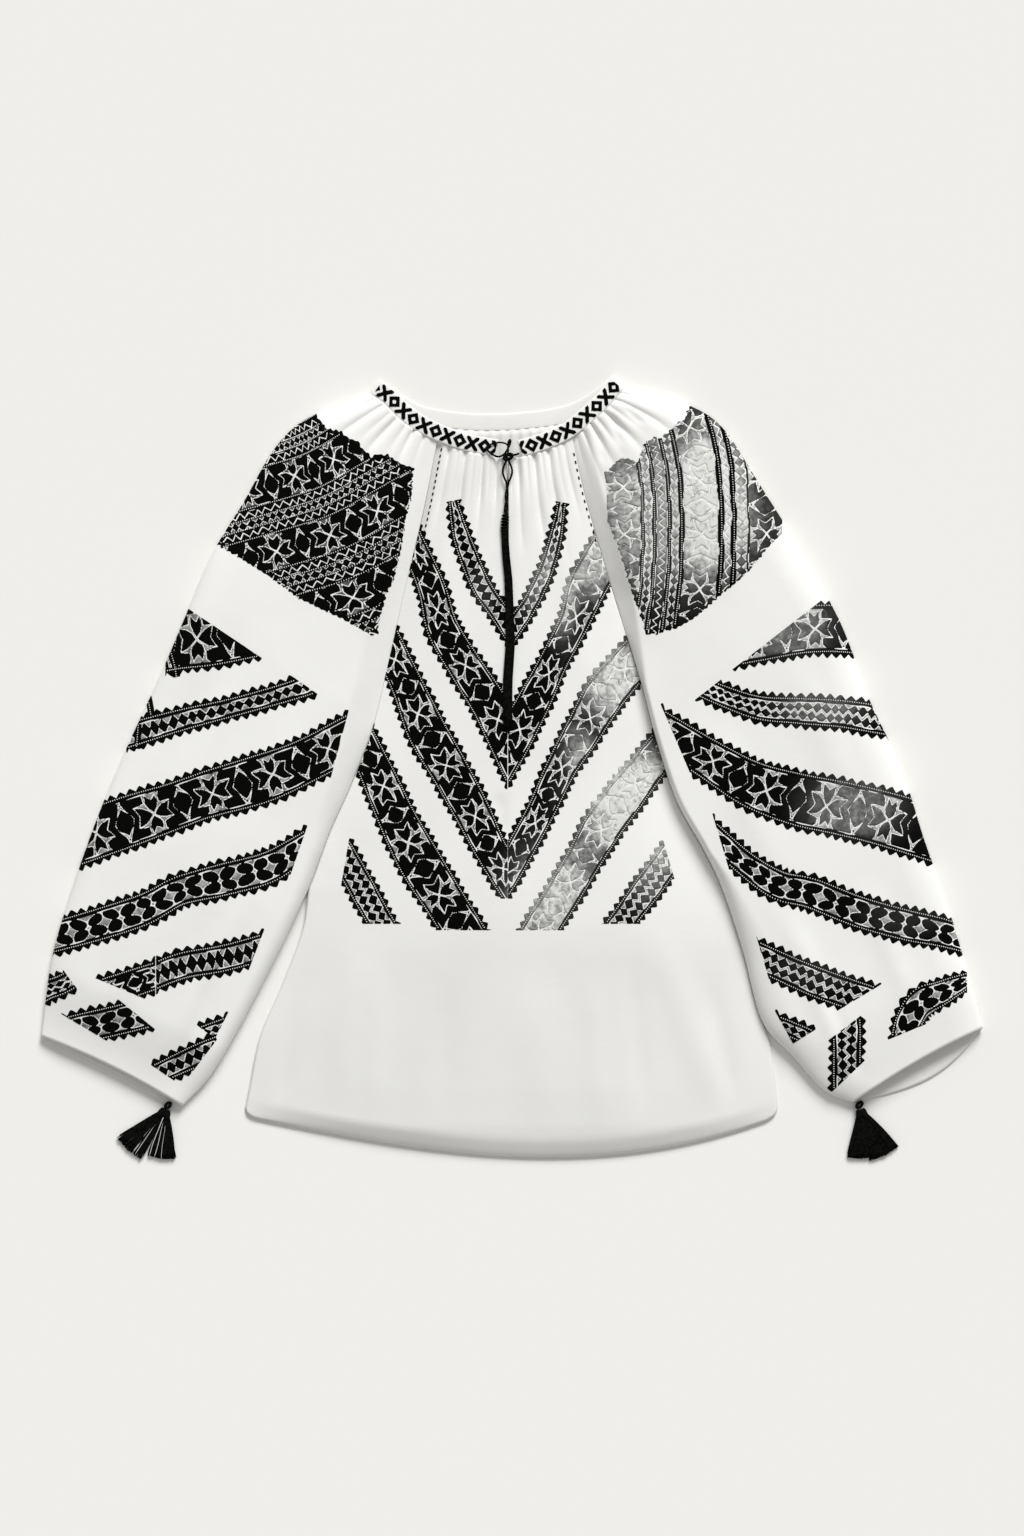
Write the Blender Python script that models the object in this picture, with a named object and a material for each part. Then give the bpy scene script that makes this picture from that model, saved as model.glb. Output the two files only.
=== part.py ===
"""Romanian ie blouse, laid flat on a table with its front up.

The neck points along +Y and the hem along -Y. Each piece of cloth is a wall of even thickness, worked out
from rows that run across the piece: first the row at the neck, last the row at the hem or cuff.
"""

import math

import bpy
import numpy as np

MM = 0.001  # the tables are in millimetres

CLOTH = 1.2  # thickness of the cloth wall
SEAM = 0.3  # gap that stands for a sewn seam
FOLD_REACH = 5.0  # how far a sleeve's rounded fold reaches in from its edge
FOLD_HEIGHT = 5.0  # height of the middle of a sleeve's fold

BAND_WIDTH = 16.0
BAND_WALL = 1.6
BAND_BACK_Z = 0.8  # middle of the band's wall where it lies on the table
BAND_TIP_Z = 8.0  # and where the front half starts, at the folded tips
BAND_FRONT_Z = 12.6
BAND_RISE = 45.0  # length over which the front half climbs
BAND_STATIONS_FRONT = 12  # along each side of the front half
BAND_STATIONS_BACK = 18
FOLD_TURNS = (36.0, 72.0, 108.0, 144.0)  # steps of the band's fold at a shoulder, in degrees

SLIT_X = -4.0
SLIT_END_Y = 44.0
SLIT_HALF = 1.0

FRONT_GATHERS = 13
BACK_GATHERS = 13
SLEEVE_GATHERS = 7
GATHER_HEIGHT = 1.5
BACK_GATHER_HEIGHT = 0.9
BACK_GATHER_LEVEL = 0.3  # share of that height that the back's gathered edge is raised by
GATHER_LENGTH = 95.0  # the gathers fade out this far below the neck
BACK_GATHER_LENGTH = 50.0
COLUMNS_PER_GATHER = 4

CLOTH_Y = 285.0  # a line across the body that is clear of the band
INSIDE_BAND_Y = 345.0  # and one past the band, inside the neck
CLOTH_SHARE = 0.12  # the same two places along a sleeve, as shares of its length
INSIDE_BAND_SHARE = -0.09
SLEEVE_LENGTH = 700.0  # round figure for a sleeve's length, from the neck to the cuff

UNDERARM_Y = 20.0
UNDERARM_BLEND = 60.0

# Outer fold of each sleeve, from the neck to the cuff: x, y
FOLD_RIGHT = ((-134, 356), (-163, 346), (-201, 328), (-228, 300), (-254, 254), (-284, 205), (-307, 152),
              (-332, 93), (-366, 19), (-393, -45), (-418, -116), (-437, -181), (-447, -255))
FOLD_LEFT = ((107, 361), (131, 357), (167, 345), (200, 323), (236, 268), (274, 207), (312, 138),
             (340, 64), (369, 2), (392, -69), (414, -131), (435, -202), (447, -247))
# Line where each sleeve meets the body, and then its own inner edge to the cuff: x, y
INNER_RIGHT = ((-70, 316), (-84, 245), (-102, 169), (-119, 93), (-133, 36), (-153, -17), (-173, -61),
               (-193, -114), (-214, -160), (-238, -207), (-263, -254), (-287, -293), (-313, -321))
INNER_LEFT = ((56, 320), (69, 259), (95, 169), (122, 83), (137, 26), (156, -31), (182, -78),
              (200, -116), (219, -173), (238, -241), (268, -275), (295, -305), (323, -318))
# Side edges of the body below the place where the sleeve leaves it: x, y
SIDE_RIGHT = ((-199, -154), (-219, -207), (-239, -254), (-249, -302), (-255, -332))
SIDE_LEFT = ((246, -268), (251, -306), (253, -333))
CONTACT_RIGHT = 8  # rows of INNER_RIGHT that the body's edge shares
CONTACT_LEFT = 10

# Middle line of the neckband's front half, from the tip of the right shoulder to that of the left: x, y
BAND_FRONT_RIGHT = ((-127, 360), (-116, 352), (-102, 338), (-87, 327), (-66, 317), (-43, 309), (-14, 303.5))
BAND_FRONT_LEFT = ((7, 303), (30, 310), (52, 320), (71, 335), (87, 350), (98.5, 364))
# Its back half, between the same tips: x, y
BAND_BACK = ((-106, 346), (-83, 335), (-43, 329), (-11, 328.5), (11, 330), (37, 333), (60, 339), (81, 351))

# Rows that the body and both sleeves share along the sleeve seams: y
SEAM_ROWS = (297, 279, 257, 229, 196, 160, 122, 84, 44, 4, -36, -76, -114, -160, -205, -241)
RIGHT_SHARED = 13  # rows down to where each sleeve leaves the body
LEFT_SHARED = 16
SLEEVE_TAIL_RIGHT = (-160, -207, -254, -290, -310)
SLEEVE_TAIL_LEFT = (-273, -302)
# Rows of the body below the last shared one: y at the side, share of the hem's bow
HEM_ROWS = ((-275, 0.30), (-303, 0.75), (-319, 0.95), (-331, 1.0))
HEM_BOW = -38.0  # how much lower the hem hangs in the middle
HEM_SKEW = 0.33  # how far its lowest place is off towards the left side

# Height of the front's top face: y, at the sleeve or side seam, in the middle
FRONT_HEIGHTS = ((320, 10.5, 12.5), (200, 9.0, 15.0), (100, 7.5, 16.0), (0, 6.0, 15.5), (-115, 4.5, 15.0),
                 (-200, 2.9, 14.0), (-305, 2.9, 13.0), (-340, 2.9, 12.0), (-372, 2.8, 8.5))
# Height of a sleeve's top layer along its length: share of the length, top of the dome
SLEEVE_HEIGHTS = ((0.0, 12.5), (0.15, 19.0), (0.4, 23.0), (0.7, 22.0), (0.9, 19.0), (1.0, 16.0))
# Soft ridges (+) and troughs (-): x0, y0, x1, y1, height, half width
RIDGES = (
    (-150, 300, -210, 150, 1.8, 16), (-115, 270, -140, 120, 1.6, 13), (-250, 110, -330, -60, 1.8, 18),
    (-200, 60, -270, -120, 1.6, 16), (-240, -90, -330, -290, 2.2, 13), (-330, -100, -380, -250, 1.8, 13),
    (-280, -180, -325, -312, -1.8, 8), (150, 310, 215, 150, 1.8, 16), (100, 270, 135, 110, 1.6, 13),
    (260, 110, 330, -40, 1.8, 18), (190, 50, 260, -120, 1.6, 16), (250, -120, 330, -300, 2.2, 13),
    (330, -100, 385, -240, 1.8, 13), (290, -190, 335, -305, -1.8, 8), (-60, 240, -75, 60, 1.0, 12),
    (50, 240, 70, 60, 1.0, 12), (-140, -150, -170, -330, 1.6, 16), (130, -140, 200, -330, 2.0, 18),
    (-12, -20, -10, -70, -1.2, 7), (20, -190, 30, -350, 1.0, 20),
)
# How far each cuff's front hem stands back from a straight cut, and its back hem beyond it (shares of length)
CUFF_RIGHT = {"front_back": 0.012, "back_beyond": 0.007}
CUFF_LEFT = {"front_back": 0.024, "back_beyond": 0.013}

CORD = 2.2  # diameter of the tie
KNOT_Z = 17.4
# Route of each half of the tie, from the end of the band to its knot: x, y, z
TIE_RIGHT = ((-15.5, 304, 15.0), (-20, 300.5, 15.3), (-25, 302, 15.4), (-26.5, 306, 15.4), (-24, 309.8, 15.6),
             (-18.5, 309.8, 16.4), (-13, 306.5, 17.7), (-10.2, 302, 17.7), (-7.9, 299.2, 17.4))
TIE_LEFT = ((8.5, 303, 14.9), (5, 308, 15.8), (0, 311.5, 16.2), (-3, 309, 16.6), (-3.4, 303.5, 17.2),
            (-3.8, 300.8, 17.4))
KNOT = (-4.0, 296.0, KNOT_Z)
KNOT_SIZE = (4.6, 4.2, 2.6)
# The two hanging ends, side by side: x at the knot, x at the tassel
TIE_ENDS = ((-6.3, -7.3), (-2.0, -2.3))
TIE_END_TOP_Y = 291.2
TIE_END_LOW_Y = 236.0
TIE_END_LOW_Z = 17.6
SLIT_TASSEL_LENGTH = 184.0
# Tassels in the slit: half spread at the tips; length, half width and height of the head; the height of the
# strands over the cloth at their roots and tips
SLIT_TASSEL_SPREAD = 2.6
SLIT_TASSEL_HEAD = (9.0, 2.2, 3.4)
SLIT_TASSEL_LAYERS = (3.2, 2.6)
SLIT_TASSEL_LIFT = (0.4, 1.6)  # clear of the cloth, and how much more among the gathers

# Cuff tassels: node, x, y of the knot, then the direction in degrees, length and half spread in degrees
CUFF_TASSELS = (
    ("tassel_cuff_right_outer", -326.8, -320.5, 226.0, 46.0, 19.0),
    ("tassel_cuff_right_inner", -326.8, -320.5, 269.0, 39.7, 16.0),
    ("tassel_cuff_left_inner", 329.9, -319.9, 265.0, 40.4, 13.0),
    ("tassel_cuff_left_outer", 329.9, -319.9, 299.0, 41.5, 18.0),
)
CUFF_TASSEL_HEAD = (8.0, 2.4, 6.0)
CUFF_TASSEL_LAYERS = (5.5, 2.4)
CUFF_KNOT_SIZE = (4.5, 4.5, 3.6)
STRANDS_ACROSS = 4
STRANDS_DEEP = 3
STRAND_STEPS = 3


def ease(t):
    """A soft step from 0 to 1."""
    t = np.clip(t, 0, 1)
    return t * t * (3 - 2 * t)


def smooth_line(rows):
    """A smooth curve through the rows, with the share of its length at each of its points."""
    knots = np.array(rows, float)
    padded = np.vstack([2 * knots[0] - knots[1], knots, 2 * knots[-1] - knots[-2]])
    t = np.linspace(0, 1, 12, endpoint=False)[:, None]
    runs = []
    for i in range(1, len(padded) - 2):
        a, b, c, d = padded[i - 1 : i + 3]
        runs.append(
            b + 0.5 * t * (c - a + t * (2 * a - 5 * b + 4 * c - d + t * (3 * b - a - 3 * c + d)))
        )
    line = np.vstack(runs + [knots[-1:]])
    along = np.concatenate([[0], np.cumsum(np.linalg.norm(np.diff(line, axis=0), axis=1))])
    return line, along / along[-1]


def on_line(curve, share):
    """Points at shares of a curve's length, straight on past its ends."""
    line, along = curve
    reach = 0.1
    start = line[0] + (line[0] - line[1]) * reach / (along[1] - along[0])
    end = line[-1] + (line[-1] - line[-2]) * reach / (along[-1] - along[-2])
    line = np.vstack([start, line, end])
    along = np.concatenate([[-reach], along, [1 + reach]])
    return np.stack([np.interp(share, along, line[:, k]) for k in range(line.shape[1])], axis=-1)


def distance_to(line, points):
    """Distance in plan of each point from a line of points."""
    a, b = line[:-1], line[1:]
    d = b - a
    p = points[..., None, :] - a
    t = np.clip((p * d).sum(-1) / np.maximum((d * d).sum(-1), 1e-9), 0, 1)
    return np.linalg.norm(p - t[..., None] * d, axis=-1).min(-1)


def ridges(x, y):
    """Height that the soft ridges and troughs add at a place in plan."""
    total = np.zeros(np.shape(x))
    for x0, y0, x1, y1, height, width in RIDGES:
        along = np.array((x1 - x0, y1 - y0), float)
        length = np.linalg.norm(along)
        along /= length
        t = ((x - x0) * along[0] + (y - y0) * along[1]) / length
        side = (x - x0) * along[1] - (y - y0) * along[0]
        total += height * np.exp(-((side / width) ** 2)) * ease(3 * t) * ease(3 * (1 - t))
    return total


def band_tip(line, inward):
    """The outermost place that the band's fold reaches, beyond the first point of a line."""
    first, second = np.array(line[0], float), np.array(line[1], float)
    out = (first - second) / np.linalg.norm(first - second)
    return first + out * inward


BAND_FOLD = (BAND_TIP_Z - BAND_BACK_Z) / 2  # radius of the band's fold at each tip
TIP_RIGHT = band_tip(BAND_FRONT_RIGHT, BAND_FOLD)
TIP_LEFT = band_tip(BAND_FRONT_LEFT[::-1], BAND_FOLD)
FRONT_LINE = smooth_line((tuple(TIP_RIGHT),) + BAND_FRONT_RIGHT + BAND_FRONT_LEFT + (tuple(TIP_LEFT),))[0]
BACK_LINE = smooth_line(
    (tuple(TIP_RIGHT), BAND_FRONT_RIGHT[0]) + BAND_BACK + (BAND_FRONT_LEFT[-1], tuple(TIP_LEFT))
)[0]
NECK_CLEAR = BAND_WIDTH / 2 + SEAM + 0.4  # from the band's middle line to the edge of the gathered cloth


def below_band(place, line, cloth, band, steps=500):
    """The value nearest the band whose place is still clear of it, on the way from the cloth to the band."""
    share = np.linspace(0, 1, steps)[:, None]
    values = cloth + (band - cloth) * share
    clear = distance_to(line, place(values)) >= NECK_CLEAR
    last = np.argmin(clear, axis=0) - 1
    return values[last, np.arange(values.shape[1])]


def wall(name, outer, normals, faces, material, thickness=CLOTH):
    """A closed solid from one face of the cloth: its points, their outward normals and its quads."""
    count = len(outer)
    points = np.vstack([outer, outer - normals * thickness])
    solid = [tuple(f) for f in faces] + [tuple(i + count for i in reversed(f)) for f in faces]
    edges = {}
    for f in faces:
        for a, b in zip(f, f[1:] + f[:1]):
            edges[(a, b)] = True
    for a, b in edges:
        if (b, a) not in edges:
            solid.append((b, a, a + count, b + count))
    return add_solid(name, points, solid, material)


def add_solid(name, points, faces, material):
    """A mesh object from points in millimetres."""
    mesh = bpy.data.meshes.new(name)
    mesh.from_pydata((np.asarray(points) * MM).tolist(), [], faces)
    mesh.materials.append(material)
    mesh.shade_smooth()
    solid = bpy.data.objects.new(name, mesh)
    bpy.context.scene.collection.objects.link(solid)
    return solid


def grid_normals(grid):
    """Unit normals of a grid of points, which face the side that its rows and columns turn about."""
    down = np.gradient(grid, axis=0)
    across = np.gradient(grid, axis=1)
    n = np.cross(down, across)
    return n / np.maximum(np.linalg.norm(n, axis=-1, keepdims=True), 1e-9)


def grid_faces(rows, columns, index):
    """Quads between neighbouring rows and columns; index gives a point's number."""
    return [
        (index(i, j), index(i + 1, j), index(i + 1, j + 1), index(i, j + 1))
        for i in range(rows - 1)
        for j in range(columns - 1)
    ]


def body_edges():
    """The body's side edges, one for each side, as lines of points from the neck to the hem."""
    edges = []
    for inner, contact, side in (
        (INNER_RIGHT, CONTACT_RIGHT, SIDE_RIGHT),
        (INNER_LEFT, CONTACT_LEFT, SIDE_LEFT),
    ):
        seam = smooth_line(inner)[0]
        seam = seam[seam[:, 1] > inner[contact - 1][1]]
        free = smooth_line((inner[contact - 1],) + side)[0]
        edges.append(np.vstack([seam, free]))
    return edges


def edge_x(line, y):
    """Where an edge crosses a height in plan."""
    ends = np.vstack([line[0] + (line[0] - line[1]) * 9, line, line[-1] + (line[-1] - line[-2]) * 9])
    return np.interp(-np.asarray(y, float), -ends[:, 1], ends[:, 0])


def body_x(p, y):
    """Place across the body for a share p, 0 at its right edge, 0.5 at the slit and 1 at its left edge."""
    right, left = body_edges()
    side_y = np.maximum(y, SIDE_RIGHT[-1][1])
    a, b = edge_x(right, side_y), edge_x(left, side_y)
    return np.where(p < 0.5, a + (SLIT_X - a) * 2 * p, SLIT_X + (b - SLIT_X) * (2 * p - 1))


def body_rows(p, line):
    """The y of every row of a body panel at each share p. line is the half of the band that it hangs from."""

    def place(y):
        return np.stack([body_x(np.broadcast_to(p, y.shape), y), y], axis=-1)

    neck = below_band(place, line, np.full_like(p, CLOTH_Y), np.full_like(p, INSIDE_BAND_Y))
    rows = [neck]
    sag = neck - (neck[0] + (neck[-1] - neck[0]) * p)
    for y in SEAM_ROWS:
        rows.append(y + sag * (1 - ease((SEAM_ROWS[0] + 20 - y) / 90)))
    across = 2 * p - 1
    bow = (1 - across**2) * (1 + HEM_SKEW * across)
    for y, share in HEM_ROWS:
        rows.append(y + HEM_BOW * share * bow)
    return np.array(rows)


def gathers(count, p, drop, height, length=GATHER_LENGTH):
    """Height of the gathers at a share p across a piece, a distance below its neck edge."""
    fade = 1 - ease(drop / length)
    side = np.minimum(1, 6 * np.minimum(p, 1 - p) + 0.25)
    return height * np.cos(2 * math.pi * count * p) * fade * side


def front_height(p, x, y, drop):
    """Height of the front's top face."""
    table = np.array(FRONT_HEIGHTS, float)
    edge = np.interp(-y, -table[:, 0], table[:, 1])
    middle = np.interp(-y, -table[:, 0], table[:, 2])
    dome = (1 - np.abs(2 * p - 1) ** 2.6) ** 0.6
    away = ease(9 * np.minimum(p, 1 - p))
    folds = gathers(FRONT_GATHERS, p, drop, GATHER_HEIGHT) + ridges(x, y) * ease((y + 372) / 25)
    return edge + (middle - edge) * dome + folds * away


def front_panel(material):
    """The front, gathered at the neck, with the slit cut down from the neck in its middle."""
    half = FRONT_GATHERS * COLUMNS_PER_GATHER // 2
    p = np.linspace(0, 1, 2 * half + 1)
    p = np.insert(p, half, 0.5)
    y = body_rows(p, FRONT_LINE)
    x = body_x(p[None], y)
    z = front_height(p[None], x, y, y[0][None] - y)
    open_width = SLIT_HALF * ease((y - SLIT_END_Y) / 60)
    x[:, half] -= open_width[:, half]
    x[:, half + 1] += open_width[:, half + 1]
    right = np.stack([x, y, z], axis=-1)[:, : half + 1]
    left = np.stack([x, y, z], axis=-1)[:, half + 1 :]
    normals = np.concatenate([grid_normals(right), grid_normals(left)], axis=1)
    grid = np.concatenate([right, left], axis=1)
    closed = y[:, half] <= SLIT_END_Y + 1e-6
    middle = normals[closed, half] + normals[closed, half + 1]
    middle /= np.linalg.norm(middle, axis=-1, keepdims=True)
    normals[closed, half] = normals[closed, half + 1] = middle
    rows, columns = x.shape

    def index(i, j):
        return i * columns + (half if j == half + 1 and closed[i] else j)

    # No faces across the slit: its two edges part above the row where it is closed.
    faces = [f for n, f in enumerate(grid_faces(rows, columns, index)) if n % (columns - 1) != half]
    used = sorted({k for f in faces for k in f})
    number = {k: n for n, k in enumerate(used)}
    faces = [tuple(number[k] for k in f) for f in faces]
    return wall("front", grid.reshape(-1, 3)[used], normals.reshape(-1, 3)[used], faces, material)


def back_panel(material):
    """The back, flat on the table, and gathered where it meets the band."""
    p = np.linspace(0, 1, BACK_GATHERS * COLUMNS_PER_GATHER + 1)
    y = body_rows(p, BACK_LINE)
    x = body_x(p[None], y)
    waves = gathers(BACK_GATHERS, p[None], y[0][None] - y, 1.0, BACK_GATHER_LENGTH)
    lift = np.maximum(0, waves + BACK_GATHER_LEVEL)
    z = BACK_GATHER_HEIGHT * lift
    grid = np.stack([x, y, z], axis=-1)
    normals = -grid_normals(grid)
    flat = z < 1e-6
    normals[flat] = (0, 0, -1)
    rows, columns = x.shape
    faces = [tuple(reversed(f)) for f in grid_faces(rows, columns, lambda i, j: i * columns + j)]
    return wall("back", grid.reshape(-1, 3), normals.reshape(-1, 3), faces, material)


def sleeve_rows(inner, shared, tail, first):
    """Shares of a sleeve's length for its rows, so that its edge and the body's share their points."""
    line, along = inner
    levels = [first] + list(SEAM_ROWS[:shared]) + list(tail)
    return np.append(np.interp(-np.array(levels), -line[:, 1], along), 1.0)


def neck_edge(plan, p, line):
    """Shares of a sleeve's length at which its cloth starts, just clear of one half of the band."""

    def place(v):
        return plan(v, np.broadcast_to(p, v.shape))

    return below_band(place, line, np.full_like(p, CLOTH_SHARE), np.full_like(p, INSIDE_BAND_SHARE))


def sag(start, p):
    """How far a neck edge stands from a straight line between its ends, at shares p from 0 to 1."""
    first, last = (start[0], start[-1]) if p[0] < p[-1] else (start[-1], start[0])
    return start - (first + (last - first) * p)


def sleeve(name, fold_table, inner_table, shared, tail, cuff, side, material):
    """A sleeve: one piece of cloth that runs from the seam, over the top, round the fold and back below.

    side is -1 for the wearer's right sleeve and 1 for the left one.
    """
    fold, inner = smooth_line(fold_table), smooth_line(inner_table)

    def plan(v, p):
        o, i = on_line(fold, v), on_line(inner, v)
        edge = side * SEAM * 1.2 * p[..., None] * np.array((1.0, 0.0))
        return o + (i - o) * p[..., None] + edge

    q = np.linspace(1, 0, SLEEVE_GATHERS * COLUMNS_PER_GATHER + 1)
    top_p = 0.5 * q + 0.25 * (1 - np.cos(math.pi * q))
    # Lower layer: reach in from the fold (in mm), or the middle, or reach in from the seam.
    reach = np.array([0.15, 0.5, 1.0]) * FOLD_REACH
    rise = 1 - np.sqrt(1 - (1 - reach / FOLD_REACH) ** 2)

    start_top = neck_edge(plan, top_p, FRONT_LINE)
    seam_y = plan(start_top[:1], np.ones(1))[0, 1]
    v_rows = sleeve_rows(inner, shared, tail, seam_y)
    v_rows[0] = start_top[0]

    grid, shut = [], []
    for v_row in v_rows:
        width = np.linalg.norm(plan(np.array([v_row]), np.zeros(1)) - plan(np.array([v_row]), np.ones(1)))
        y_seam = plan(np.array([v_row]), np.ones(1))[0, 1]
        closed = ease((UNDERARM_Y + UNDERARM_BLEND / 2 - y_seam) / UNDERARM_BLEND)
        near_neck = 1 - ease(v_row / 0.16)
        near_cuff = ease((v_row - 0.72) / 0.28)

        top_v = v_row + sag(start_top, top_p) * near_neck if len(grid) else start_top
        top_v = top_v - cuff["front_back"] * 4 * top_p * (1 - top_p) * near_cuff
        top_xy = plan(top_v, top_p)
        top = sleeve_top(top_p, top_v, start_top, top_xy, closed)

        low_share = np.concatenate([reach / width, [0.33, 0.66], 1 - reach[::-1] / width, [1.0]])
        bottom_z = np.concatenate([rise, [0, 0], rise[::-1] * closed, [closed]]) * FOLD_HEIGHT
        bottom_z[-1] = closed * (FOLD_HEIGHT - SEAM)
        start_low = neck_edge(plan, low_share, BACK_LINE)
        start_low = start_top[-1] + (start_low - start_top[-1]) * ease(low_share / 0.25)
        low_v = v_row + sag(start_low, low_share) * near_neck if len(grid) else start_low
        low_v = low_v + cuff["back_beyond"] * 4 * low_share * (1 - low_share) * near_cuff
        low_xy = plan(low_v, low_share)
        bottom = np.column_stack([low_xy, bottom_z])
        grid.append(np.vstack([top, bottom]))
        shut.append(closed)
    grid, shut = np.array(grid), np.array(shut)[:, None]
    rows, columns = grid.shape[:2]
    normals = grid_normals(grid) * side
    normals[grid[..., 2] < 1e-6] = (0, 0, -1)
    level = (grid[:, 0] - grid[:, SLEEVE_GATHERS * COLUMNS_PER_GATHER]) * (1, 1, 0)
    level /= np.linalg.norm(level, axis=1, keepdims=True)
    for edge in (0, -1):  # where the sleeve is closed, its two edges face each other squarely
        facing = normals[:, edge] * (1 - shut) + level * shut
        normals[:, edge] = facing / np.linalg.norm(facing, axis=1, keepdims=True)
    faces = grid_faces(rows, columns, lambda i, j: i * columns + j)
    if side < 0:
        faces = [tuple(reversed(f)) for f in faces]
    return wall(name, grid.reshape(-1, 3), normals.reshape(-1, 3), faces, material)


def sleeve_top(p, v, start, xy, closed):
    """The top layer of one row of a sleeve, from the seam to the outer fold."""
    heights = np.array(SLEEVE_HEIGHTS, float)
    front = np.array(FRONT_HEIGHTS, float)
    seam = np.interp(-xy[0, 1], -front[:, 0], front[:, 1])
    seam = seam * (1 - closed) + FOLD_HEIGHT * closed
    base = FOLD_HEIGHT + (seam - FOLD_HEIGHT) * p
    dome = np.sqrt(1 - np.abs(2 * p - 1) ** 3)
    high = np.interp(v, heights[:, 0], heights[:, 1])
    away = ease(8 * np.minimum(p, 1 - p))
    waves = gathers(SLEEVE_GATHERS, p, (v - start) * SLEEVE_LENGTH, GATHER_HEIGHT)
    z = base + (high - base) * dome + (waves + ridges(xy[:, 0], xy[:, 1])) * away
    return np.column_stack([xy, z])


def flat_run(rows, count, turn):
    """Stations along one stretch of the band: their share of its length, place and direction of its width."""
    curve = smooth_line(rows)
    share = np.linspace(0, 1, count)
    along = on_line(curve, share + 0.01) - on_line(curve, share - 0.01)
    along /= np.linalg.norm(along, axis=1, keepdims=True)
    width = np.column_stack([-along[:, 1], along[:, 0], np.zeros(count)]) * turn
    return share, on_line(curve, share), width


def front_run(rows, turn):
    """One side of the band's front half, from the slit out to the shoulder, as places and widths."""
    share, xy, width = flat_run(rows, BAND_STATIONS_FRONT, turn)
    length = np.linalg.norm(np.diff(np.array(rows, float), axis=0), axis=1).sum()
    z = BAND_TIP_Z + (BAND_FRONT_Z - BAND_TIP_Z) * ease((1 - share) * length / BAND_RISE)
    return np.column_stack([xy, z]), width


def band_fold(corner, tip, angles):
    """The band's rounded fold at a shoulder, as places. The angles count from the front half."""
    outward = np.append(tip - corner, 0) / BAND_FOLD
    centre = np.append(corner, (BAND_TIP_Z + BAND_BACK_Z) / 2)
    upward = np.array((0.0, 0.0, 1.0))
    return np.array([centre + BAND_FOLD * (outward * math.sin(a) + upward * math.cos(a)) for a in angles])


def neckband(material):
    """The neckband, a strip that goes round the neck and lies folded flat at both shoulders."""
    right, right_width = front_run(BAND_FRONT_RIGHT[::-1], -1)
    left, left_width = front_run(BAND_FRONT_LEFT, 1)
    left, left_width = left[::-1], left_width[::-1]
    corners = BAND_FRONT_RIGHT[0], BAND_FRONT_LEFT[-1]
    back_line = (corners[0],) + BAND_BACK + (corners[1],)
    share, xy, back_width = flat_run(back_line, BAND_STATIONS_BACK, 1)
    back = np.column_stack([xy, np.full(len(share), BAND_BACK_Z)])
    right_width[-1] = back_width[0] = unit(right_width[-1] + back_width[0])
    left_width[0] = back_width[-1] = unit(left_width[0] + back_width[-1])
    turn = np.radians(FOLD_TURNS)
    path = np.vstack([
        right, band_fold(corners[0], TIP_RIGHT, turn), back, band_fold(corners[1], TIP_LEFT, turn[::-1]), left
    ])
    first_fold, last_fold = (np.tile(w, (len(turn), 1)) for w in (back_width[0], back_width[-1]))
    width = np.vstack([right_width, first_fold, back_width, last_fold, left_width])
    along = np.gradient(path, axis=0)
    out = np.cross(width, along)
    out /= np.linalg.norm(out, axis=1, keepdims=True)
    corners = ((-1, -1), (1, -1), (1, 1), (-1, 1))
    rings = np.stack(
        [path + a * width * BAND_WIDTH / 2 + b * out * BAND_WALL / 2 for a, b in corners], axis=1
    )
    return tube_of_rings("neckband", rings, material)


def unit(vector):
    """The vector at length 1."""
    return vector / np.linalg.norm(vector)


def tube_of_rings(name, rings, material):
    """A closed solid through rings of points."""
    count, sides = rings.shape[:2]
    faces = [tuple(reversed(range(sides))), tuple((count - 1) * sides + k for k in range(sides))]
    for i in range(count - 1):
        for k in range(sides):
            n = (k + 1) % sides
            faces.append((i * sides + k, i * sides + n, (i + 1) * sides + n, (i + 1) * sides + k))
    solid = add_solid(name, rings.reshape(-1, 3), faces, material)
    face_outward(solid)
    return solid


def face_outward(solid):
    """Turns a closed mesh's faces so that its volume is positive."""
    mesh = solid.data
    mesh.calc_loop_triangles()
    p = np.array([v.co for v in mesh.vertices])
    t = np.array([f.vertices for f in mesh.loop_triangles])
    volume = (p[t[:, 0]] * np.cross(p[t[:, 1]], p[t[:, 2]])).sum()
    if volume < 0:
        mesh.flip_normals()


def cord(name, route, material):
    """A cord as a tube with closed ends along a smooth curve through its route."""
    curve = bpy.data.curves.new(name, "CURVE")
    curve.dimensions = "3D"
    curve.bevel_depth = CORD / 2 * MM
    curve.bevel_resolution = 2
    curve.use_fill_caps = True
    smooth = smooth_line(route)
    line, along = smooth
    length = np.linalg.norm(np.diff(line, axis=0), axis=1).sum()
    count = max(4, int(length / (CORD * 1.6)))
    points = on_line(smooth, np.linspace(0, 1, count))
    spline = curve.splines.new("POLY")
    spline.points.add(count - 1)
    for point, place in zip(spline.points, points):
        point.co = (*(place * MM), 1.0)
    curve.materials.append(material)
    solid = bpy.data.objects.new(name, curve)
    bpy.context.scene.collection.objects.link(solid)
    return solid


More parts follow.
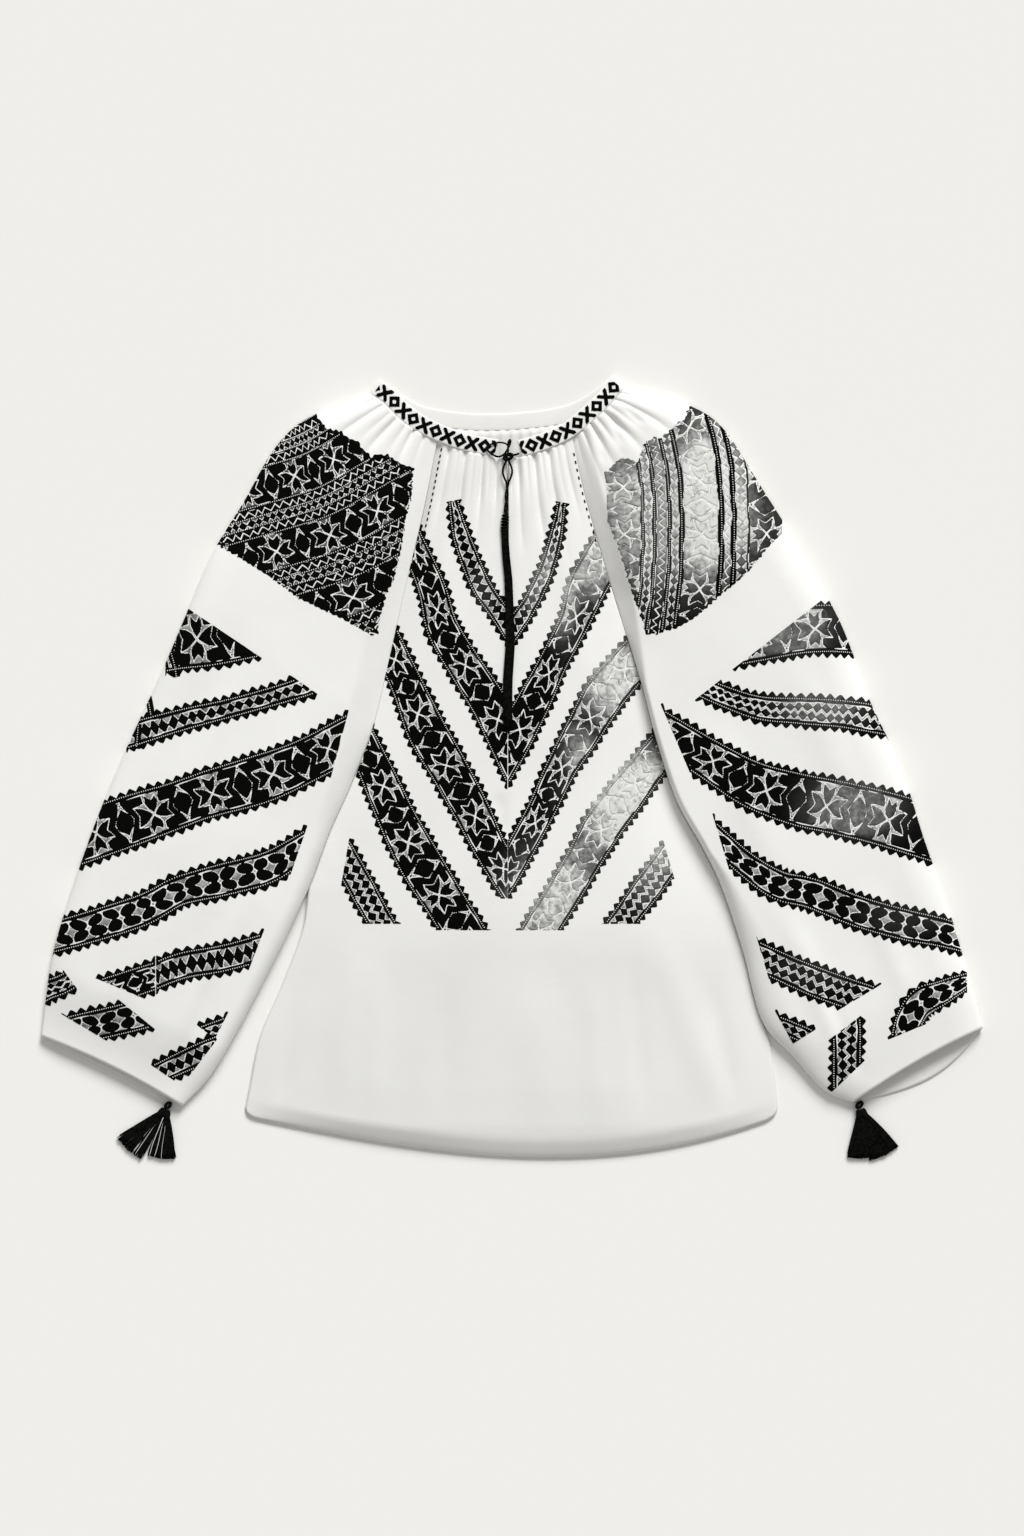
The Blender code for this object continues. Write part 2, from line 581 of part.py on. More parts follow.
def knot(name, centre, size, material):
    """A tied knot as a plain rounded lump."""
    rows, columns = 7, 12
    points = [(0, 0, -1)]
    for i in range(1, rows):
        a = math.pi * i / rows
        for j in range(columns):
            b = 2 * math.pi * j / columns
            points.append((math.sin(a) * math.cos(b), math.sin(a) * math.sin(b), -math.cos(a)))
    points.append((0, 0, 1))
    last = len(points) - 1

    def ring(i, j):
        return 1 + (i - 1) * columns + j % columns

    faces = [(0, ring(1, j + 1), ring(1, j)) for j in range(columns)]
    faces += [(last, ring(rows - 1, j), ring(rows - 1, j + 1)) for j in range(columns)]
    for i in range(1, rows - 1):
        for j in range(columns):
            faces.append((ring(i, j), ring(i, j + 1), ring(i + 1, j + 1), ring(i + 1, j)))
    return add_solid(name, np.array(points) * size + np.array(centre), faces, material)


def tassel(name, root, aim, length, spread, head, layers, ground, material):
    """A tassel: a bound head, and strands that grow out of its end.

    head gives its length, half width and height; layers the strands' height over the ground at their roots
    and at their tips; spread the half width at the tips.
    """
    root, aim = np.array(root, float), np.array(aim, float)
    side = np.array((-aim[1], aim[0]))
    across, deep = STRANDS_ACROSS, STRANDS_DEEP
    head_length, half, height = head
    points, faces = [], []

    def place(along, sideways, up):
        xy = root + aim * along + side * sideways
        return (xy[0], xy[1], ground(xy[0], xy[1]) + up)

    def add(corners):
        points.extend(corners)
        return list(range(len(points) - len(corners), len(points)))

    def section(along, width, low, high):
        return add([
            place(along, -width + 2 * width * i / across, low + (high - low) * j / deep)
            for j in range(deep + 1)
            for i in range(across + 1)
        ])

    def at(base, i, j):
        return base[j * (across + 1) + i]

    low, high = 0.3, height
    start = section(0.0, half * 0.55, low + height * 0.2, high * 0.8)
    neck = section(head_length * 0.5, half * 0.8, low, high)
    end = section(head_length, half, low, high)
    rim = [(i, 0) for i in range(across)] + [(across, j) for j in range(deep)]
    rim += [(i, deep) for i in range(across, 0, -1)] + [(0, j) for j in range(deep, 0, -1)]
    for first, second in ((start, neck), (neck, end)):
        for (i, j), (k, m) in zip(rim, rim[1:] + rim[:1]):
            faces.append((at(first, i, j), at(first, k, m), at(second, k, m), at(second, i, j)))
    for j in range(deep):
        for i in range(across):
            cell = [(i, j), (i + 1, j), (i + 1, j + 1), (i, j + 1)]
            faces.append(tuple(at(start, a, b) for a, b in reversed(cell)))
            root_face = [at(end, a, b) for a, b in cell]
            faces.extend(strand(add, root_face, (i, j), place, head, length, spread, layers))
    solid = add_solid(name, points, faces, material)
    face_outward(solid)
    return solid


def strand(add, root_face, cell, place, head, length, spread, layers):
    """One strand of a tassel: the faces of a thin tube that tapers, grown from one face of the head."""
    head_length, half, _ = head
    i, j = cell
    a = (2 * i + 1) / STRANDS_ACROSS - 1
    b = (j + 0.5) / STRANDS_DEEP
    shorter = 1 - 0.05 * ((3 * i + 2 * j) % 4) / 3 - 0.04 * abs(a)
    faces, last = [], root_face
    for step in range(STRAND_STEPS + 1):
        t = step / STRAND_STEPS
        centre = a * (half + (spread - half) * t**0.8)
        level = 0.3 + b * (layers[0] + (layers[1] - layers[0]) * t)
        thick = 0.42 * (1 - 0.15 * t)
        w = thick * (half + (spread - half) * t) * 2 / STRANDS_ACROSS
        h = thick * (layers[0] + (layers[1] - layers[0]) * t) / STRANDS_DEEP
        along = head_length + 0.02 * length + 0.98 * t * length * shorter
        ring = add([
            place(along, centre - w, level - h),
            place(along, centre + w, level - h),
            place(along, centre + w, level + h),
            place(along, centre - w, level + h),
        ])
        for k in range(4):
            n = (k + 1) % 4
            faces.append((last[k], last[n], ring[n], ring[k]))
        last = ring
    faces.append(tuple(last))
    return faces


def principled(name, colour, roughness):
    """A plain material."""
    material = bpy.data.materials.new(name)
    material.use_nodes = True
    shader = material.node_tree.nodes["Principled BSDF"]
    shader.inputs["Base Color"].default_value = (*colour, 1.0)
    shader.inputs["Roughness"].default_value = roughness
    shader.inputs["Metallic"].default_value = 0.0
    return material


def tie(thread):
    """The neck tie: its two halves, the knot, and the two ends with their long tassels down the slit."""
    cord("tie_cord_right", TIE_RIGHT, thread)
    cord("tie_cord_left", TIE_LEFT, thread)
    knot("tie_knot", KNOT, KNOT_SIZE, thread)
    names = ("right", "left")
    for name, (top_x, low_x) in zip(names, TIE_ENDS):
        ys = np.linspace(TIE_END_TOP_Y, TIE_END_LOW_Y, 5)
        share = (TIE_END_TOP_Y - ys) / (TIE_END_TOP_Y - TIE_END_LOW_Y)
        xs = top_x + (low_x - top_x) * share
        zs = KNOT_Z + (TIE_END_LOW_Z - KNOT_Z) * share
        cord(f"tie_end_{name}", tuple(zip(xs, ys, zs)), thread)
        tassel(
            f"tassel_tie_{name}", (low_x, TIE_END_LOW_Y - SEAM), (0.0, -1.0), SLIT_TASSEL_LENGTH,
            SLIT_TASSEL_SPREAD, SLIT_TASSEL_HEAD, SLIT_TASSEL_LAYERS, strip_ground, thread,
        )


def strip_ground(x, y):
    """Level that the long tassels lie on: just above the front beside the slit."""
    drop = KNOT[1] - y
    p = np.array([0.5])
    level = front_height(p, np.array([SLIT_X]), np.array([float(y)]), np.array([float(drop)]))[0]
    fade = 1 - float(ease(drop / GATHER_LENGTH))
    clear, more = SLIT_TASSEL_LIFT
    return level + clear + more * fade


def table_ground(x, y):
    """Level that the cuff tassels lie on: the table."""
    return 0.0


def cuff_ties(thread):
    """The knot at each cuff and the tassels that hang from it."""
    for name, row in (("cuff_knot_right", CUFF_TASSELS[0]), ("cuff_knot_left", CUFF_TASSELS[2])):
        knot(name, (row[1], row[2], CUFF_KNOT_SIZE[2]), CUFF_KNOT_SIZE, thread)
    for name, x, y, degrees, length, spread in CUFF_TASSELS:
        aim = np.array((math.cos(math.radians(degrees)), math.sin(math.radians(degrees))))
        root = np.array((x, y)) + aim * (CUFF_KNOT_SIZE[0] + SEAM)
        tips = length * math.tan(math.radians(spread))
        tassel(name, root, aim, length, tips, CUFF_TASSEL_HEAD, CUFF_TASSEL_LAYERS, table_ground, thread)


def main():
    """Builds the blouse."""
    for leftover in list(bpy.data.objects):
        bpy.data.objects.remove(leftover)
    cloth = principled("linen", (0.86, 0.85, 0.82), 0.9)
    thread = principled("black_thread", (0.012, 0.012, 0.011), 0.75)
    front_panel(cloth)
    back_panel(cloth)
    sleeve("sleeve_right", FOLD_RIGHT, INNER_RIGHT, RIGHT_SHARED, SLEEVE_TAIL_RIGHT, CUFF_RIGHT, -1, cloth)
    sleeve("sleeve_left", FOLD_LEFT, INNER_LEFT, LEFT_SHARED, SLEEVE_TAIL_LEFT, CUFF_LEFT, 1, cloth)
    neckband(cloth)
    tie(thread)
    cuff_ties(thread)


main()
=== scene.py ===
"""The looks of a romanian ie blouse, laid flat with its front up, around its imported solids.

Sizes are in millimetres: +Y is the neck, +Z is up. Each cloth piece is a thin shell over its solid, and the
needlework is raised thread, worked out in strips that follow each band of the pattern.
"""

import logging
import math
from dataclasses import dataclass, field, replace
from enum import Enum
from typing import Callable, Sequence

import bpy
import numpy as np
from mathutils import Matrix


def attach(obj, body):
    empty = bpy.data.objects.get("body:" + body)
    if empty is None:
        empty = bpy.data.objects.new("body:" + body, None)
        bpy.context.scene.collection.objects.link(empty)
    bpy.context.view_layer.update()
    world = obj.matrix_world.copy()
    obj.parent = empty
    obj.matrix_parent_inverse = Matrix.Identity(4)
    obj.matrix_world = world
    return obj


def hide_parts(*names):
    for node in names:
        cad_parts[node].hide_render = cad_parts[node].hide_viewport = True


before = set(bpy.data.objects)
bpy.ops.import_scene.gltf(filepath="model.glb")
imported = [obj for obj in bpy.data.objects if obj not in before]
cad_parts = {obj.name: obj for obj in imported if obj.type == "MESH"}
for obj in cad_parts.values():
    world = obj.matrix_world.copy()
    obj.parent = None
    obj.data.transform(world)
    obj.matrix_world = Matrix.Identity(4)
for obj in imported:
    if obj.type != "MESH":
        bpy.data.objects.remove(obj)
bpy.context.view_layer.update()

log = logging.getLogger("blouse")

Array = np.ndarray
Rows = Sequence[Sequence[float]]
Material = bpy.types.Material
Piece = bpy.types.Object
Socket = bpy.types.NodeSocket
Layer = tuple[Array, Array, Array]  # places, normals, and how far each place is inside the cloth's edges

MM = 0.001
LINEN = 0.8  # thickness of the linen's shell
SEAM = 0.3  # room between two pieces at a seam
FOLD_RADIUS = 5.0  # the rounded fold at a sleeve's outer edge
RAGLAN_TUCK = 3.4  # how far the front dips beside the right sleeve, near the neck
TUCK_REACH = 9.0  # how far in from the seam it dips
TUCK_FOOT_Y = 192.0  # where the dip ends below
RAGLAN_DROP = 2.2  # how far the left sleeve dips beside the front, near the neck
DROP_SHARE = 0.2  # share of the sleeve's length down to which it dips
SLIT_X = -4.0  # the neck slit's middle, its lower end and its half width
SLIT_END_Y = 44.0
SLIT_HALF = 1.0
BACK_LIFT = 0.6  # room below the lower layers for the needlework on them
HEM_HEIGHT = 2.4  # height of the front at its hem
HEM_REACH = 16.0  # how far above the hem the front has risen in full
GATHER_REACH = 80.0  # how far below the band the cloth still stands up from its gathers

# Outer folds of the sleeves, from the neck to the cuff: x, y
FOLD_RIGHT = ((-134, 356), (-163, 346), (-201, 328), (-228, 300), (-254, 254), (-284, 205), (-307, 152),
              (-332, 93), (-366, 19), (-393, -45), (-418, -116), (-437, -181), (-447, -255))
FOLD_LEFT = ((107, 361), (131, 357), (167, 345), (200, 323), (236, 268), (274, 207), (312, 138),
             (340, 64), (369, 2), (392, -69), (414, -131), (435, -202), (447, -247))
# Inner edges of the sleeves, along the body and on below it: x, y
INNER_RIGHT = ((-70, 316), (-84, 245), (-102, 169), (-119, 93), (-133, 36), (-153, -17), (-173, -61),
               (-193, -114), (-214, -160), (-238, -207), (-263, -254), (-287, -293), (-313, -321))
INNER_LEFT = ((56, 320), (69, 259), (95, 169), (122, 83), (137, 26), (156, -31), (182, -78),
              (200, -116), (219, -173), (238, -241), (268, -275), (295, -305), (323, -318))
# Side edges of the body below the sleeves: x, y
SIDE_RIGHT = ((-199, -154), (-219, -207), (-239, -254), (-249, -302), (-255, -332))
SIDE_LEFT = ((246, -268), (251, -306), (253, -333))
CONTACT_RIGHT = 8  # rows of INNER_RIGHT that the body's edge shares
CONTACT_LEFT = 10
# Middle line of the neckband's front half and of its back half, from the right shoulder to the left: x, y
BAND_FRONT = ((-127, 360), (-116, 352), (-102, 338), (-87, 327), (-66, 317), (-43, 309), (-14, 303.5),
              (7, 303), (30, 310), (52, 320), (71, 335), (87, 350), (98.5, 364))
BAND_BACK = ((-106, 346), (-83, 335), (-43, 329), (-11, 328.5), (11, 330), (37, 333), (60, 339), (81, 351))
RIGHT_ROWS = 7  # rows of BAND_FRONT on the right of the slit
# Rows of the body beside the sleeves: y. Rows below them: y at the side, share of the hem's bow
SEAM_ROWS = (297, 279, 257, 229, 196, 160, 122, 84, 44, 4, -36, -76, -114, -160, -205, -241)
HEM_ROWS = ((-275, 0.30), (-303, 0.75), (-319, 0.95), (-331, 1.0))
HEM_BOW = -38.0  # how far the hem hangs below its ends
HEM_SKEW = 0.33  # how much further on the left
HEM_CORNER = 8.0  # how far its corners are rounded up
# Height of the front: y, at its side edges, along its middle
FRONT_HEIGHTS = ((320, 10.5, 12.5), (200, 9.0, 15.0), (100, 7.5, 16.0), (0, 6.0, 15.5), (-115, 4.5, 15.0),
                 (-200, 2.9, 14.0), (-305, 2.9, 13.0), (-340, 2.9, 12.0), (-372, 2.8, 8.5))
# Height of a sleeve's top: share of its length, height
SLEEVE_HEIGHTS = ((0.0, 14.5), (0.12, 19.5), (0.4, 23.0), (0.7, 22.0), (0.9, 19.0), (1.0, 16.0))


# ---------------------------------------------------------------- shared geometry


def ease(t: Array | float) -> Array:
    """A soft step: 3t^2 - 2t^3 between 0 and 1, level outside."""
    t = np.clip(t, 0, 1)
    return t * t * (3 - 2 * t)


def quarter_round(t: Array) -> Array:
    """A quarter circle that leaves 0 steeply and meets 1 level: sqrt(1 - (1 - t)^2), for t in 0 to 1."""
    return np.sqrt(np.maximum(0, 1 - (1 - np.clip(t, 0, 1)) ** 2))


def unit(v: Array) -> Array:
    """Vectors at length 1, along the last axis."""
    return v / np.maximum(np.linalg.norm(v, axis=-1, keepdims=True), 1e-9)


class Route:
    """A smooth curve through rows of places, measured by the share of its length."""

    def __init__(self, rows: Rows) -> None:
        """Works out the curve: between rows b and c it is the cubic whose ends slope as (c-a)/2 and (d-b)/2.

        Args:
            rows: the places that it passes through; further columns are carried along.
        """
        knots = np.array(rows, float)
        padded = np.vstack([2 * knots[0] - knots[1], knots, 2 * knots[-1] - knots[-2]])
        a, b, c, d = (padded[k : len(padded) - 3 + k][:, None] for k in range(4))
        t = np.linspace(0, 1, 12, endpoint=False)[None, :, None]
        runs = b + 0.5 * t * (c - a + t * (2 * a - 5 * b + 4 * c - d + t * (3 * b - a - 3 * c + d)))
        self.line: Array = np.vstack([runs.reshape(-1, knots.shape[1]), knots[-1:]])
        steps = np.linalg.norm(np.diff(self.line[:, : min(3, knots.shape[1])], axis=0), axis=1)
        self.along: Array = np.concatenate([[0], np.cumsum(steps)])
        self.length: float = float(self.along[-1])

    def at(self, share: Array) -> Array:
        """Places at shares of the length, straight on past both ends.

        Args:
            share: shares of the length.
        Returns:
            A row for each share.
        """
        reach = 0.1
        line, along = self.line, self.along / self.length
        start = line[0] + (line[0] - line[1]) * reach / (along[1] - along[0])
        end = line[-1] + (line[-1] - line[-2]) * reach / (along[-1] - along[-2])
        line = np.vstack([start, line, end])
        along = np.concatenate([[-reach], along, [1 + reach]])
        return np.stack([np.interp(share, along, line[:, k]) for k in range(line.shape[1])], axis=-1)


def distance_to(line: Array, points: Array) -> Array:
    """Distance in plan of each point from a line of points: the least over its straight pieces.

    Args:
        line: the places along it.
        points: the places to measure from.
    Returns:
        A distance for each point.
    """
    a, b = line[:-1, :2], line[1:, :2]
    d = b - a
    p = points[..., None, :] - a
    t = np.clip((p * d).sum(-1) / np.maximum((d * d).sum(-1), 1e-9), 0, 1)
    return np.linalg.norm(p - t[..., None] * d, axis=-1).min(-1)


def inside(outline: Rows, x: Array, y: Array, wide: Array | float = 1.0, high: Array | float = 1.0) -> Array:
    """How far each place is inside a closed outline, below 0 outside: distance to the nearest side.

    Args:
        outline: the corners in order.
        x, y: the places.
        wide, high: what the corners' x and y are multiplied by, for all places or for each.
    Returns:
        The depth at each place.
    """
    nearest = np.full(np.shape(x), 1e9)
    odd = np.zeros(np.shape(x), bool)
    for (ax, ay), (bx, by) in zip(outline, tuple(outline[1:]) + tuple(outline[:1])):
        ax, bx, ay, by = ax * wide, bx * wide, ay * high, by * high
        dx, dy = bx - ax, by - ay
        t = np.clip(((x - ax) * dx + (y - ay) * dy) / (dx * dx + dy * dy), 0, 1)
        nearest = np.minimum(nearest, np.hypot(x - ax - t * dx, y - ay - t * dy))
        level = np.where(dy == 0, 1.0, dy)
        odd ^= ((ay > y) != (by > y)) & (x < ax + dx * (y - ay) / level)
    return np.where(odd, nearest, -nearest)


def relief(creases: Rows, x: Array, y: Array) -> Array:
    """Height of soft ridges and troughs: height * exp(-(side / width)^2), fading out at both ends.

    Args:
        creases: rows of x0, y0, x1, y1, height (+ a ridge, - a trough) and half width.
        x, y: places in plan.
    Returns:
        The height added at each place.
    """
    total = np.zeros(np.shape(x))
    for x0, y0, x1, y1, height, width in creases:
        dx, dy = x1 - x0, y1 - y0
        length = math.hypot(dx, dy)
        t = ((x - x0) * dx + (y - y0) * dy) / length**2
        side = ((x - x0) * dy - (y - y0) * dx) / length
        total += height * np.exp(-((side / width) ** 2)) * ease(3 * t) * ease(3 * (1 - t))
    return total


def make_mesh(name: str, points: Array, faces: Sequence[Array], material: Material,
              layers: dict[str, Array] | None = None) -> Piece:
    """A mesh object from arrays in millimetres.

    Args:
        name: the piece's name.
        points: its places.
        faces: arrays of point numbers, one array for each number of corners.
        material: its finish.
        layers: values for each point: two columns make a UV map, one column a plain attribute.
    Returns:
        The new object, smooth shaded, at the origin.
    """
    mesh = bpy.data.meshes.new(name)
    corners = np.concatenate([f.ravel() for f in faces]).astype(np.int32)
    sizes = np.concatenate([np.full(len(f), f.shape[1]) for f in faces])
    starts = np.concatenate([[0], np.cumsum(sizes)[:-1]]).astype(np.int32)
    mesh.vertices.add(len(points))
    mesh.vertices.foreach_set("co", (np.asarray(points, float) * MM).astype(np.float32).ravel())
    mesh.loops.add(len(corners))
    mesh.loops.foreach_set("vertex_index", corners)
    mesh.polygons.add(len(starts))
    mesh.polygons.foreach_set("loop_start", starts)
    mesh.polygons.foreach_set("use_smooth", np.ones(len(starts), bool))
    mesh.update(calc_edges=True)
    for key, values in (layers or {}).items():
        if values.ndim == 2:
            uv = mesh.uv_layers.new(name=key)
            uv.data.foreach_set("uv", (values[corners] * MM).astype(np.float32).ravel())
        else:
            attribute = mesh.attributes.new(key, "FLOAT", "POINT")
            attribute.data.foreach_set("value", values.astype(np.float32))
    mesh.materials.append(material)
    piece = bpy.data.objects.new(name, mesh)
    bpy.context.scene.collection.objects.link(piece)
    return piece


def grid_faces(rows: int, columns: int, wrap: bool = False) -> Array:
    """Quads between the neighbours of a grid of points; wrap joins the last column to the first.

    Args:
        rows, columns: size of the grid.
        wrap: whether it closes on itself.
    Returns:
        A row of four point numbers for each quad.
    """
    i, j = np.meshgrid(np.arange(rows - 1), np.arange(columns if wrap else columns - 1), indexing="ij")
    k = (j + 1) % columns
    return np.stack([i * columns + j, (i + 1) * columns + j, (i + 1) * columns + k, i * columns + k],
                    axis=-1).reshape(-1, 4)


def grid_normals(grid: Array) -> Array:
    """Unit normals of a grid of points: its steps down crossed with its steps across."""
    return unit(np.cross(np.gradient(grid, axis=0), np.gradient(grid, axis=1)))


def shell(outer: Array, normals: Array, faces: Array, thickness: float) -> tuple[Array, Array]:
    """A closed wall: the outer points, the same points moved in by the thickness, and rims between them.

    Args:
        outer: the points of the outer face.
        normals: their outward normals.
        faces: the outer face's quads.
        thickness: the wall's thickness.
    Returns:
        All points, and all quads.
    """
    count = len(outer)
    points = np.vstack([outer, outer - normals * thickness])
    a = faces.ravel()
    b = np.roll(faces, -1, axis=1).ravel()
    free = ~np.isin(a * count + b, b * count + a)
    a, b = a[free], b[free]
    rims = np.stack([b, a, a + count, b + count], axis=1)
    return points, np.vstack([faces, faces[:, ::-1] + count, rims])


def used_only(points: Array, faces: Array, *more: Array) -> tuple[Array, ...]:
    """Drops the points that no face uses, from the points and from every array that goes with them."""
    kept, numbers = np.unique(faces, return_inverse=True)
    return (points[kept], numbers.reshape(faces.shape)) + tuple(m[kept] for m in more)


def tube(path: Array, radius: Array | float, sides: int, plies: int = 0, twist: float = 0.0,
         depth: float = 0.0, flat: float = 1.0) -> tuple[Array, Array]:
    """A tube with closed, pointed ends round a path: radius * (1 + depth * cos(plies * (angle - twist * s))).

    Args:
        path: the middle line.
        radius: one value, or one for each place on the path.
        sides: corners of a ring.
        plies: strands that show round the tube, and depth how far they stand out.
        twist: turns of the strands, in radians for each millimetre.
        depth: share of the radius.
        flat: height of a ring as a share of its width.
    Returns:
        Points and quads; the two end points are repeated into rings of no size, so that all faces are quads.
    """
    along = unit(np.gradient(path, axis=0))
    side = unit(np.cross(along, (0.0, 0.0, 1.0)))
    up = np.cross(side, along)
    s = np.concatenate([[0], np.cumsum(np.linalg.norm(np.diff(path, axis=0), axis=1))])
    angle = np.linspace(0, 2 * math.pi, sides, endpoint=False)[None]
    r = np.broadcast_to(np.asarray(radius, float), s.shape)[:, None]
    r = r * (1 + depth * np.cos(plies * (angle - twist * s[:, None]))) if plies else r + 0 * angle
    rings = path[:, None] + (side[:, None] * np.cos(angle)[..., None]
                             + up[:, None] * (np.sin(angle) * flat)[..., None]) * r[..., None]
    first = path[:1] - along[:1] * r[0].mean() * 0.5
    last = path[-1:] + along[-1:] * r[-1].mean() * 0.5
    points = np.vstack([first, rings.reshape(-1, 3), last])
    quads = grid_faces(len(path), sides, wrap=True)[:, ::-1] + 1
    k = np.arange(sides)
    n = (k + 1) % sides
    end = 1 + (len(path) - 1) * sides
    start_fan = np.stack([np.zeros_like(k), 1 + n, 1 + k, 1 + k], axis=1)
    end_fan = np.stack([np.full_like(k, len(points) - 1), end + k, end + n, end + n], axis=1)
    return points, np.vstack([quads, start_fan, end_fan])


def plied(path: Array, radius: float, sides: int = 12, depth: float = 0.14) -> tuple[Array, Array]:
    """A cord of three strands twisted by 0.9 radians for each millimetre, as points and quads."""
    return tube(path, radius, sides, plies=3, twist=0.9, depth=depth)


def triangles_and_quads(faces: Array) -> list[Array]:
    """Splits quads whose last corner is repeated off as triangles."""
    three = faces[:, 2] == faces[:, 3]
    return [f for f in (faces[~three], faces[three][:, :3]) if len(f)]


def join(parts: Sequence[tuple[Array, Array]]) -> tuple[Array, Array]:
    """Several point and quad arrays as one."""
    offsets = np.concatenate([[0], np.cumsum([len(p) for p, _ in parts])[:-1]])
    return np.vstack([p for p, _ in parts]), np.vstack([f + o for (_, f), o in zip(parts, offsets)])


# ---------------------------------------------------------------- the neck edge


BAND_TIP_RADIUS = 3.6  # how far the band's fold stands out at a shoulder


def band_tip(line: Rows) -> tuple[float, float]:
    """The outermost place of the band's fold, beyond the first row of a line."""
    first, second = np.array(line[0], float), np.array(line[1], float)
    return tuple(first + unit(first - second) * BAND_TIP_RADIUS)


TIP_RIGHT = band_tip(BAND_FRONT)
TIP_LEFT = band_tip(BAND_FRONT[::-1])
FRONT_LINE = Route((TIP_RIGHT,) + BAND_FRONT + (TIP_LEFT,)).line
BACK_LINE = Route((TIP_RIGHT, BAND_FRONT[0]) + BAND_BACK + (BAND_FRONT[-1], TIP_LEFT)).line
NECK_CLEAR = 7.7  # from the band's middle line to the edge of the gathered cloth
BAND_RIGHT_HALF = BAND_FRONT[:RIGHT_ROWS][::-1]
BAND_LEFT_HALF = BAND_FRONT[RIGHT_ROWS:]


def below_band(place: Callable[[Array], Array], line: Array, cloth: Array, band: Array) -> Array:
    """The value nearest the band whose place is still clear of it, stepping from the cloth to the band.

    Args:
        place: gives the places in plan for values down the cloth.
        line: the band's middle line.
        cloth, band: the values to start and to end at.
    Returns:
        One value for each column.
    """
    steps = np.linspace(0, 1, 260)[:, None]
    values = cloth + (band - cloth) * steps
    clear = distance_to(line, place(values)) >= NECK_CLEAR
    last = np.argmin(clear, axis=0) - 1
    return values[last, np.arange(values.shape[1])]


# ---------------------------------------------------------------- cloth


